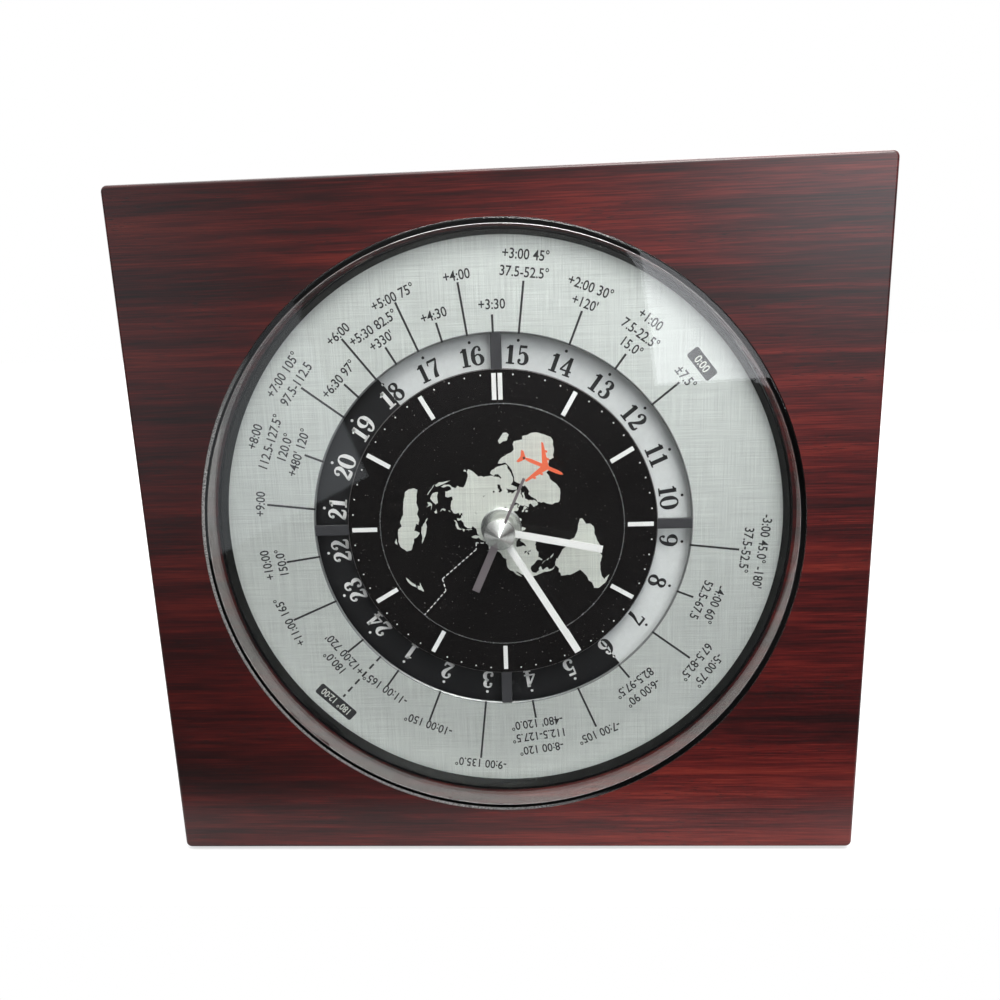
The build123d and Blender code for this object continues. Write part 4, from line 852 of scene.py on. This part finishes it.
# Map round the north pole: outlines as (longitude, latitude) in degrees
land = {
    "africa": (
        (-6, 35.8), (-2, 35.2), (3, 36.9), (10, 37.3), (11, 34), (15, 32.3), (20, 31), (20.5, 32.8),
        (25, 31.6), (30, 31.4), (32.5, 31), (34, 27.5), (35.5, 24), (37.3, 20.5), (38.6, 17.5),
        (41, 14.5), (43.2, 12), (44.5, 10.6), (51, 11.8), (50, 8), (47.5, 4), (43, -0.5), (40.5, -3),
        (39.2, -6.5), (40.5, -12), (40, -16), (35, -20), (35.5, -24), (32.8, -26.5), (31.5, -29.5),
        (28, -33), (24, -34.2), (20, -34.8), (18.2, -33), (17, -29), (14.7, -24), (13.5, -19),
        (11.8, -16), (13.5, -11), (12.2, -6), (9, -1), (9.5, 3.5), (6, 4.3), (4, 6.3), (-2, 4.9),
        (-7.5, 4.4), (-11, 6.8), (-13.5, 9.5), (-16.8, 12.5), (-17.3, 14.8), (-16.3, 19), (-17, 21.5),
        (-15, 25), (-13, 27.7), (-9.8, 30), (-9.5, 32.5), (-6.8, 34.2),
    ),
    "madagascar": (
        (49.3, -12), (50.3, -15.5), (49.4, -18), (47.2, -24.8), (45, -25.5), (43.5, -23), (44.3, -19.8),
        (44.5, -16.3), (47.5, -14.5),
    ),
    "eurasia": (
        (-9.2, 38.7), (-8.8, 43.2), (-1.8, 43.4), (-1.2, 46), (-4.5, 48.4), (-1.5, 49.6), (2.5, 51),
        (4.5, 53), (8.5, 53.8), (8.2, 57), (10.5, 57.7), (10.8, 54.5), (14, 54), (19, 54.6), (21, 57),
        (24, 57.3), (23.5, 59.2), (28, 59.8), (28.5, 60.6), (23, 60), (21.3, 61.5), (25, 65), (22, 65.8),
        (17.5, 62), (17.2, 60.7), (18.8, 59.8), (16.5, 57), (14.3, 55.5), (12.8, 56), (11, 59), (8, 58),
        (5.2, 59.5), (5, 62), (10, 64), (14, 68), (20, 70), (25.5, 71), (31, 70.2), (40, 67.5),
        (41, 66.3), (33.5, 66.6), (35, 64.3), (38, 64), (40.5, 65), (44, 66), (44, 68.2), (54, 68.5),
        (60, 69), (68, 68.5), (67, 70), (68.5, 73), (73, 73), (72.5, 69), (74, 68), (75, 72), (81, 73),
        (87, 75), (95, 76), (104, 77.7), (113, 76), (113.5, 73.7), (120, 73), (128, 72.5), (131, 71),
        (140, 72.5), (150, 71.3), (160, 69.8), (170, 70), (180, 69), (190, 66.2), (184, 64.5),
        (178, 62.5), (170, 60), (163.5, 59.5), (163, 56), (160, 53), (156.7, 51), (155.7, 56),
        (159, 60.5), (163, 61.8), (155, 59.3), (148, 59.5), (142, 59), (136, 54.7), (141, 53),
        (140, 48.5), (135.5, 44), (131, 42.8), (128, 40), (129.5, 37), (129, 35.2), (126.5, 34.6),
        (126.6, 37.5), (125, 39.5), (121.5, 38.9), (122, 40.6), (118, 39.2), (119, 37.4), (122.3, 37.2),
        (119.3, 35), (121.8, 31.5), (121.5, 28.5), (118.5, 24.5), (114, 22.4), (110.3, 21), (108, 21.6),
        (105.8, 19), (108.8, 15.3), (109.2, 12), (106.8, 10.4), (105, 8.7), (104.8, 10.4), (102, 12.5),
        (100.8, 13.4), (99.3, 10.5), (100.5, 7), (103.3, 4.5), (104, 1.4), (101.3, 2.8), (98.5, 8),
        (98.6, 12), (97.5, 16.5), (94.3, 16), (94, 19), (91.8, 22.5), (88.5, 21.8), (86, 20),
        (82.3, 16.7), (80.2, 13.5), (79.8, 10.3), (77.5, 8.1), (76, 11), (74.2, 15), (72.8, 19.5),
        (72.5, 21.5), (69.5, 22.3), (67.2, 24.6), (61.5, 25.1), (57.3, 25.8), (56.5, 27), (51, 28),
        (48.5, 30.2), (48, 29.5), (50, 26.5), (51.5, 24.5), (54.5, 24.2), (56.3, 26), (59.7, 22.4),
        (57.5, 18.8), (52, 15.6), (45, 12.8), (43.2, 13), (42.5, 16.5), (39.2, 20.8), (37, 25),
        (35, 28.1), (34.3, 31.3), (36, 36), (30.7, 36.8), (27.5, 36.8), (26.4, 39.5), (29, 41),
        (35, 42), (41.5, 41.5), (37.8, 44.7), (39, 47), (35, 46), (33.5, 45), (31, 46.6), (28.7, 44),
        (28, 42), (26.2, 40.7), (23.5, 40.3), (23.8, 37.9), (22.5, 36.5), (20, 39.5), (19.3, 42),
        (14, 45), (12.4, 45.3), (13.8, 43), (18.4, 40.3), (16.5, 39.7), (16, 38), (15.3, 40), (12, 42),
        (9.5, 44.2), (6.5, 43.2), (3, 43), (3.2, 41.8), (-0.3, 39.5), (-0.7, 37.7), (-4.5, 36.7),
        (-6, 36.3), (-8.8, 37),
    ),
    "north_america": (
        (-168, 65.6), (-166, 68.3), (-156.5, 71.3), (-145, 70), (-135, 69), (-128, 70), (-115, 68.5),
        (-105, 68), (-95, 68), (-94, 71.5), (-90, 69), (-82, 69.5), (-81.5, 67), (-87, 64.5), (-94, 61),
        (-94.5, 58.8), (-88, 56.7), (-82.3, 55), (-80.5, 51.5), (-78.8, 52.5), (-77, 56), (-78, 59.5),
        (-77.5, 62.4), (-70, 61), (-65, 59), (-61, 56), (-56, 52.5), (-60, 50.2), (-66, 50), (-65, 48.5),
        (-61, 46), (-66, 43.7), (-70, 43.5), (-70.5, 41.8), (-74, 40.5), (-76, 37), (-75.6, 35.3),
        (-81, 31.8), (-80.2, 26), (-81.5, 25.5), (-82.8, 28.5), (-84.5, 30), (-90, 29.3), (-95, 29.2),
        (-97.3, 27), (-97.7, 22), (-95, 18.5), (-91, 18.7), (-90.3, 21), (-87, 21.4), (-88.3, 17),
        (-87.5, 15.8), (-83.3, 15), (-83.6, 11), (-81.5, 9), (-77.5, 8.7), (-79.5, 8.4), (-80.3, 7.5),
        (-83.5, 8.7), (-85.8, 10.5), (-88, 13), (-92.5, 14.8), (-96, 15.8), (-101, 17.3),
        (-105.5, 20.2), (-106.5, 23.5), (-109.5, 26.5), (-113, 31), (-114.7, 31.3), (-111, 26),
        (-109.5, 23), (-112, 24.8), (-114.8, 28), (-117.2, 32.8), (-120.6, 34.6), (-124, 40),
        (-124.2, 46.5), (-123, 49), (-128, 51.5), (-131, 55), (-137, 58.8), (-146, 60.8),
        (-151.5, 59.5), (-154, 58.5), (-163, 55), (-158, 57.8), (-162, 59), (-166, 61.8), (-161, 64.3),
        (-166, 64.6),
    ),
    "south_america": (
        (-77.5, 8.5), (-75, 11), (-71.7, 12.3), (-71, 10.5), (-68, 11), (-62, 10.6), (-57, 6),
        (-51.5, 4.3), (-50, 0.5), (-44, -2.5), (-38.5, -3.8), (-35, -6), (-35, -9), (-39, -13),
        (-39, -18), (-41, -22.3), (-46, -24), (-48.6, -27), (-52.5, -33), (-56.5, -35), (-57.5, -38),
        (-62, -39), (-65, -42), (-67.5, -46.5), (-69, -52), (-65.5, -54.8), (-70, -55.3), (-74, -52),
        (-75.3, -47), (-73.5, -42), (-73.5, -37), (-71.5, -30), (-70.3, -20), (-76.2, -14), (-79.5, -8),
        (-81.2, -5), (-80, -2.5), (-80, 0.5), (-77.8, 2.5), (-77.3, 6),
    ),
    "australia": (
        (114, -22), (114, -26.5), (115.7, -32), (118, -35), (124, -33.8), (131, -31.5), (135.5, -34.8),
        (138, -33), (140, -37.5), (146.5, -39), (150, -37.3), (153, -31.5), (153, -25.5), (149, -20.5),
        (146, -18.8), (145.3, -15), (142.5, -10.9), (141.5, -14), (140.8, -17.5), (136, -15),
        (136.8, -12.2), (132.5, -11.5), (129.5, -14.8), (126, -14), (122.3, -18), (118, -20.3),
    ),
    "new_guinea": (
        (131, -1), (135, -3.3), (138, -1.7), (145, -4.5), (150.5, -10.4), (146, -8.5), (143, -9),
        (138.5, -8.3), (135, -4.4), (132.5, -3),
    ),
    "borneo": (
        (109, 1.5), (111.5, 2.5), (115, 5.2), (117, 7), (119, 5), (117.8, 1), (116, -3.8), (111.5, -3.3),
        (110, -1),
    ),
    "sumatra": (
        (95.3, 5.6), (98.5, 3.8), (103.5, -0.5), (106, -3.5), (105.5, -5.9), (102, -3.8), (98.8, 1.5),
    ),
    "java": ((105.3, -6.8), (108.5, -6.6), (114.4, -7.8), (114.3, -8.7), (106.5, -7.4)),
    "celebes": (
        (119.5, -5.5), (118.9, -2.7), (120, 1), (125, 1.5), (121, 0.3), (121.5, -1.5), (123.2, -4.5),
        (121, -3),
    ),
    "luzon": ((120.5, 18.5), (122.3, 18.3), (121.6, 14.5), (124, 12.7), (120.8, 13.8), (120, 16)),
    "mindanao": ((122, 7), (125.8, 9.5), (126.5, 7.5), (125.3, 5.7), (124, 7.3)),
    "honshu": (
        (130, 31.2), (132, 33.8), (135.7, 33.6), (140.8, 35.7), (142, 39.5), (141.3, 41.4), (139.8, 38.5),
        (136.8, 36.9), (132.5, 35.5), (129.8, 33),
    ),
    "hokkaido": ((140, 42), (145.5, 43.3), (142, 45.4), (141.3, 43.3)),
    "sakhalin": ((142, 46), (143.5, 49), (143.3, 54), (142, 53)),
    "new_zealand_north": ((173, -34.5), (178.5, -37.7), (175.3, -41.5), (173.8, -39.3), (174.8, -37)),
    "new_zealand_south": (
        (172.7, -40.6), (174.2, -41.7), (171, -45.8), (168.5, -46.6), (166.6, -45.8), (171, -42.5),
    ),
    "britain": (
        (-5.5, 50.1), (1.3, 51.2), (1.5, 52.8), (-1.5, 55), (-2, 57.6), (-5, 58.6), (-6, 56.5), (-3, 54),
        (-4.8, 52.5), (-3, 51.5),
    ),
    "ireland": ((-10, 51.7), (-6.2, 52.3), (-6, 54.5), (-8, 55.2), (-10, 53.8)),
    "iceland": ((-24, 65.5), (-22, 64), (-18.5, 63.4), (-13.7, 65), (-16, 66.5), (-22.5, 66.4)),
    "greenland": (
        (-73, 78.2), (-60, 82), (-35, 83.5), (-18, 80), (-20, 75), (-24, 71), (-33, 68), (-40, 65),
        (-43.5, 60), (-48.5, 61.5), (-53.5, 66.5), (-54, 70), (-58, 75.3), (-68, 76),
    ),
    "baffin": (
        (-62, 66.5), (-68, 70), (-78, 73.5), (-89, 73.8), (-80, 70.5), (-73, 68), (-73, 64.5), (-66, 62.5),
        (-64, 65),
    ),
    "cuba": ((-85, 21.9), (-82, 23.1), (-74.3, 20.2), (-77.5, 19.9), (-78, 21.5), (-82, 22.5)),
    "hispaniola": ((-74.4, 18.4), (-73, 19.9), (-68.4, 18.6), (-71.5, 17.8)),
    "ceylon": ((80, 9.7), (81.8, 7.5), (80.5, 6), (79.8, 8)),
    "formosa": ((120.2, 23), (121.5, 25.2), (121, 22)),
    "tasmania": ((144.7, -41), (148.3, -41), (147, -43.6)),
}
lakes = {
    "caspian": (
        (47, 45), (51, 47), (53, 45), (51, 44), (53.5, 41), (53.8, 37), (50, 37.3), (49.3, 40.5),
        (47.5, 43),
    ),
    "superior": ((-92, 46.8), (-88, 48.8), (-84.7, 46.9), (-88, 46.6)),
    "huron": ((-87.8, 42), (-86.3, 42), (-84.8, 45.6), (-80, 44.6), (-82, 43.3), (-83, 46), (-87.3, 45)),
    "aral": ((58.3, 45.5), (60.5, 46.6), (61.8, 44.6), (59.5, 43.6)),
    "balkhash": ((74, 45.6), (79, 46.8), (78, 45.8)),
    "baikal": ((103.8, 51.5), (109.5, 54.5), (109.7, 55.7), (107, 53)),
}
date_line = ((-169, 66), (-169, 65), (170.5, 53), (-180, 48), (-180, -9), (-172.5, -17), (-172.5, -60))
map_reach = 150.0
first_meridian = 49.8
coast_step = 0.55 * mm
coast_swing = 0.16
wander = random.Random(11)


def on_map(longitude, latitude):
    return Vector(seen(map_radius * (90 - latitude) / map_reach, first_meridian - longitude))


def coast(outline):
    """The outline on the map, with small seeded bays and capes between its points."""
    line = [on_map(*point) for point in outline]
    result = []
    for a, b in zip(line, line[1:] + line[:1]):
        pieces = max(1, round((b - a).length / coast_step))
        side = Vector((a.y - b.y, b.x - a.x)) / pieces
        for i in range(pieces):
            swing = wander.uniform(-coast_swing, coast_swing) if i else 0.0
            result.append(tuple(a + (b - a) * i / pieces + side * swing))
    return result


land_print = Print()
for outline in land.values():
    land_print.shape(coast(outline))
land_print.finish("map_land", map_y, silver_land, "case")
lake_print = Print()
for outline in lakes.values():
    lake_print.shape(coast(outline))
lake_print.finish("map_lakes", map_y - print_rise, finishes["map_black"], "case")

dashes = Print()
dash_length = 1.0 * mm
dash_space = 0.62 * mm
dash_width = 0.27 * mm
shortest_dash = 0.1 * mm
points = [on_map(*point) for point in date_line]
for a, b in zip(points, points[1:]):
    run = (b - a).length
    along = (b - a) / run
    at = 0.0
    while at < run - shortest_dash:
        end = min(run, at + dash_length)
        dashes.strip([tuple(a + along * at), tuple(a + along * end)], [dash_width, dash_width])
        at += dash_length + dash_space
dashes.finish("map_date_line", map_y, white_print, "case")


# Numbers of the disc: bold figures with serifs, drawn with strokes on a grid of 100 to their height.
# A stroke is (across, up, width) stations; a ball is (across, up, radius); a block is two corners.
figures = {
    "0": {
        "strokes": [
            [
                (31, 96.5, 7), (45, 90, 10), (53.5, 70, 17), (55, 50, 18), (53.5, 30, 17), (45, 10, 10),
                (31, 3.5, 7), (17, 10, 10), (8.5, 30, 17), (7, 50, 18), (8.5, 70, 17), (17, 90, 10),
                (31, 96.5, 7),
            ],
        ],
        "width": 62,
    },
    "1": {
        "strokes": [
            [(27, 4, 18), (27, 97, 18)],
            [(27, 93, 12), (19, 86, 10), (6, 80, 6)],
        ],
        "blocks": [(6, 0, 48, 8.5)],
        "width": 52,
    },
    "2": {
        "strokes": [
            [
                (12, 72, 10), (16, 88, 8), (30, 96, 8), (43, 90, 13), (48, 74, 19), (44, 58, 17),
                (30, 38, 12), (13, 18, 8), (7, 7, 6),
            ],
            [(6, 8.5, 8), (20, 10, 15), (38, 7.5, 15), (50, 10, 11), (55, 28, 5)],
        ],
        "balls": [(16, 73, 8.5)],
        "width": 60,
    },
    "3": {
        "strokes": [
            [
                (11, 78, 7), (18, 92, 8), (31, 96.5, 8), (43, 90, 13), (46.5, 77, 18), (43, 62, 12),
                (30, 54.5, 7),
            ],
            [
                (28, 54.5, 7), (42, 49, 12), (50, 35, 18), (49, 18, 17), (40, 7, 11), (27, 3.5, 8),
                (13, 9, 8), (9, 22, 7),
            ],
        ],
        "balls": [(15, 77, 8), (14, 23.5, 8.5)],
        "width": 60,
    },
    "4": {
        "strokes": [
            [(41, 93, 10), (22, 60, 8), (5, 28, 8)],
        ],
        "blocks": [(2, 23.5, 60, 32.5), (33, 5, 51, 100), (22, 0, 60, 8)],
        "width": 62,
    },
    "5": {
        "strokes": [
            [(14, 50, 7), (15, 72, 7), (16, 93, 7)],
            [
                (15, 55, 6), (29, 62.5, 8), (42, 57, 13), (49, 41, 18), (49, 22, 18), (41, 8, 12),
                (27, 3.5, 8), (13, 9, 8), (9, 21, 7),
            ],
        ],
        "blocks": [(13, 86, 50, 100)],
        "balls": [(14, 22.5, 8.5)],
        "width": 60,
    },
    "6": {
        "strokes": [
            [
                (49, 82, 7), (43, 93, 8), (33, 96.5, 8), (20, 88, 11), (11, 68, 17), (8.5, 45, 18),
                (10, 24, 17), (19, 8, 10), (31, 3.5, 7), (44, 9, 11), (52, 22, 17), (52, 37, 17),
                (44, 51, 11), (32, 56, 7), (20, 51, 7), (13, 42, 6),
            ],
        ],
        "balls": [(45.5, 79, 8)],
        "width": 62,
    },
    "7": {
        "strokes": [
            [(53, 93, 6), (44, 68, 9), (33, 42, 14), (28, 20, 18), (27, 2, 19)],
            [(6, 72, 5), (7.5, 86, 6), (9, 95, 7)],
        ],
        "blocks": [(7, 86, 56, 99)],
        "width": 58,
    },
    "8": {
        "strokes": [
            [
                (31, 96.5, 7), (43, 92, 11), (48.5, 79, 15), (44, 65, 11), (31, 56, 10), (18, 65, 13),
                (13.5, 79, 15), (19, 92, 11), (31, 96.5, 7),
            ],
            [
                (31, 56, 10), (46, 46, 15), (52, 29, 18), (46, 10, 12), (31, 3.5, 8), (16, 10, 12),
                (10, 28, 16), (17, 46, 11), (31, 56, 8),
            ],
        ],
        "width": 62,
    },
}
figure_grid = 100
figure_height = 5.5 * mm
figure_foot = 47.6 * mm
figure_space = 5
figure_stretch = 1.06
figure_weight = 1.22
figure_steps = 5
hour_dot = 0.44 * mm
hour_dot_place = 54.4 * mm


def upside_down(stations):
    return [(60 - x, figure_grid - y, size) for x, y, size in stations]


figures["9"] = {
    "strokes": [upside_down(stroke) for stroke in figures["6"]["strokes"]],
    "balls": upside_down(figures["6"]["balls"]),
    "width": figures["6"]["width"],
}


def smooth_stations(stations):
    """Extra stations between the given ones, on a smooth line through them."""
    if len(stations) < 3:
        return stations
    closed = stations[0] == stations[-1]
    result = []
    last = len(stations) - 1
    for i in range(last):
        p1, p2 = stations[i], stations[i + 1]
        p0 = stations[i - 1] if i > 0 else (stations[last - 1] if closed else p1)
        p3 = stations[i + 2] if i + 2 <= last else (stations[1] if closed else p2)
        for k in range(figure_steps):
            t = k / figure_steps
            result.append(tuple(
                b + 0.5 * t * (c - a + (2 * a - 5 * b + 4 * c - d) * t + (3 * b - a - 3 * c + d) * t * t)
                for a, b, c, d in zip(p0, p1, p2, p3)
            ))
    result.append(stations[last])
    return result


def add_figure(target, figure, left, clock_angle):
    """One figure of a number, with its left side at left on the grid."""
    unit = figure_height / figure_grid
    out, right = compass(clock_angle)

    def put(x, y):
        return tuple(out * (figure_foot + y * unit) + right * ((left + x) * unit * figure_stretch))

    for stroke in figure["strokes"]:
        stations = smooth_stations(stroke)
        target.strip([put(x, y) for x, y, w in stations], [w * unit * figure_weight for x, y, w in stations])
    for x, y, r in figure.get("balls", []):
        target.spot(put(x, y), r * unit)
    for x0, y0, x1, y1 in figure.get("blocks", []):
        target.shape([put(x0, y0), put(x1, y0), put(x1, y1), put(x0, y1)])


numbers = Print()
for hour in range(1, 25):
    parts = [figures[digit] for digit in str(hour)]
    left = -(sum(part["width"] for part in parts) + figure_space * (len(parts) - 1)) / 2
    for part in parts:
        add_figure(numbers, part, left, hour_angle(hour))
        left += part["width"] + figure_space
    numbers.spot(seen(hour_dot_place, hour_angle(hour)), hour_dot)
numbers.finish("disc_numbers", disc_y, number_ink, "twenty_four_hour_disc")

# Black dot on the airliner's tail
second_angle = 24.4
airliner_place = 23.4 * mm
tail_length = 2.3 * mm
tail = Vector(seen(airliner_place, second_angle)) - compass(second_angle)[1] * tail_length
tail_dot = Print()
tail_dot.spot(tail, 0.36 * mm)
tail_dot.finish("airliner_tail_dot", airplane_y, dark_print, "second_arbor")


# Stage, lamps and camera

def stage_floor():
    size = 6.0
    front_edge = -0.055
    mesh = bpy.data.meshes.new("floor")
    corners = [(-size, front_edge, 0), (size, front_edge, 0), (size, size, 0), (-size, size, 0)]
    mesh.from_pydata(corners, [], [(0, 1, 2, 3)])
    floor = bpy.data.objects.new("floor", mesh)
    bpy.context.scene.collection.objects.link(floor)
    f = Finish("floor", grey(0.42), 0.9)
    f.set("Base Color", f.ramp(f.noise(grey(3), 2), ((0.3, grey(0.41)), (0.7, grey(0.44)))))
    path = f.node("LightPath").outputs
    shown = f.most(path["Is Camera Ray"], f.straight_through(path))
    away = f.node("VectorMath")
    away.operation = "LENGTH"
    f.feed(away.inputs[0], f.position())
    f.set("Emission Color", grey(1.0))
    f.set("Emission Strength", f.times(shown, f.span(away.outputs["Value"], 0.25, 0.9, 0.62, 1.0)))
    mesh.materials.append(f.material)


stage_floor()

world = bpy.data.worlds.new("studio")
bpy.context.scene.world = world
studio = Tree(world)
path = studio.node("LightPath").outputs
_, depth, height = studio.axes("Generated")
seen_through = studio.most(path["Is Glossy Ray"], studio.straight_through(path))
behind = studio.span(depth, 0.2, 0.6)
white = studio.most(path["Is Camera Ray"], studio.times(seen_through, behind))
room = studio.ramp(studio.span(height, -1.0, 1.0), (
    (0.0, grey(0.03)),
    (0.45, grey(0.05)),
    (0.64, grey(0.16)),
    (1.0, grey(1.2)),
))
background = studio.nodes["Background"]
studio.feed(background.inputs["Color"], grey(1.0))
studio.feed(background.inputs["Strength"], studio.most(white, room))


def lamp(name, place, size, power, color=(1, 1, 1), tilt=0.0):
    """A soft rectangular panel aimed at the clock, turned about its own axis by tilt degrees."""
    data = bpy.data.lights.new(name, "AREA")
    data.shape = "RECTANGLE"
    data.size, data.size_y = size
    data.energy = power
    data.color = color
    light = bpy.data.objects.new(name, data)
    light.location = place
    toward = (Vector((0, 0, 0.1)) - Vector(place)).to_track_quat("-Z", "Y").to_matrix()
    light.rotation_euler = (toward @ Matrix.Rotation(math.radians(tilt), 3, "Z")).to_euler()
    bpy.context.scene.collection.objects.link(light)


lamp("left_window", (-0.66, -0.95, 0.26), (0.45, 0.75), 0.6, (0.88, 0.94, 1.0), 24)
lamp("right_window", (0.567, -0.99, 0.525), (0.66, 0.66), 4.0, (0.94, 0.96, 1.0))
lamp("key", (0.3, -0.7, 1.35), (0.8, 0.6), 17.0, (1.0, 0.99, 0.97))
lamp("top", (0.0, 0.35, 1.2), (1.0, 0.6), 5.0)
lamp("back_fill", (0.2, 1.2, 0.7), (0.9, 0.9), 6.0)

# Camera, placed where the photograph was taken from
camera_place = Vector((0.015132, -0.300871, 0.167392))
camera_right = Vector((0.99792, 0.05482, -0.03389))
camera_up = Vector((0.01843, 0.26107, 0.96514))
camera_back = camera_right.cross(camera_up)
camera_data = bpy.data.cameras.new("camera")
camera_data.sensor_fit = "HORIZONTAL"
camera_data.sensor_width = 36.0
camera_data.lens = 34.11
camera_data.shift_x = 0.00556
camera_data.shift_y = 0.07613
camera_data.clip_start = 0.01
camera = bpy.data.objects.new("camera", camera_data)
turn = Matrix((camera_right, camera_up, camera_back)).transposed().to_4x4()
camera.matrix_world = Matrix.Translation(camera_place) @ turn
bpy.context.scene.collection.objects.link(camera)
bpy.context.scene.camera = camera
bpy.context.scene.view_settings.view_transform = "Standard"
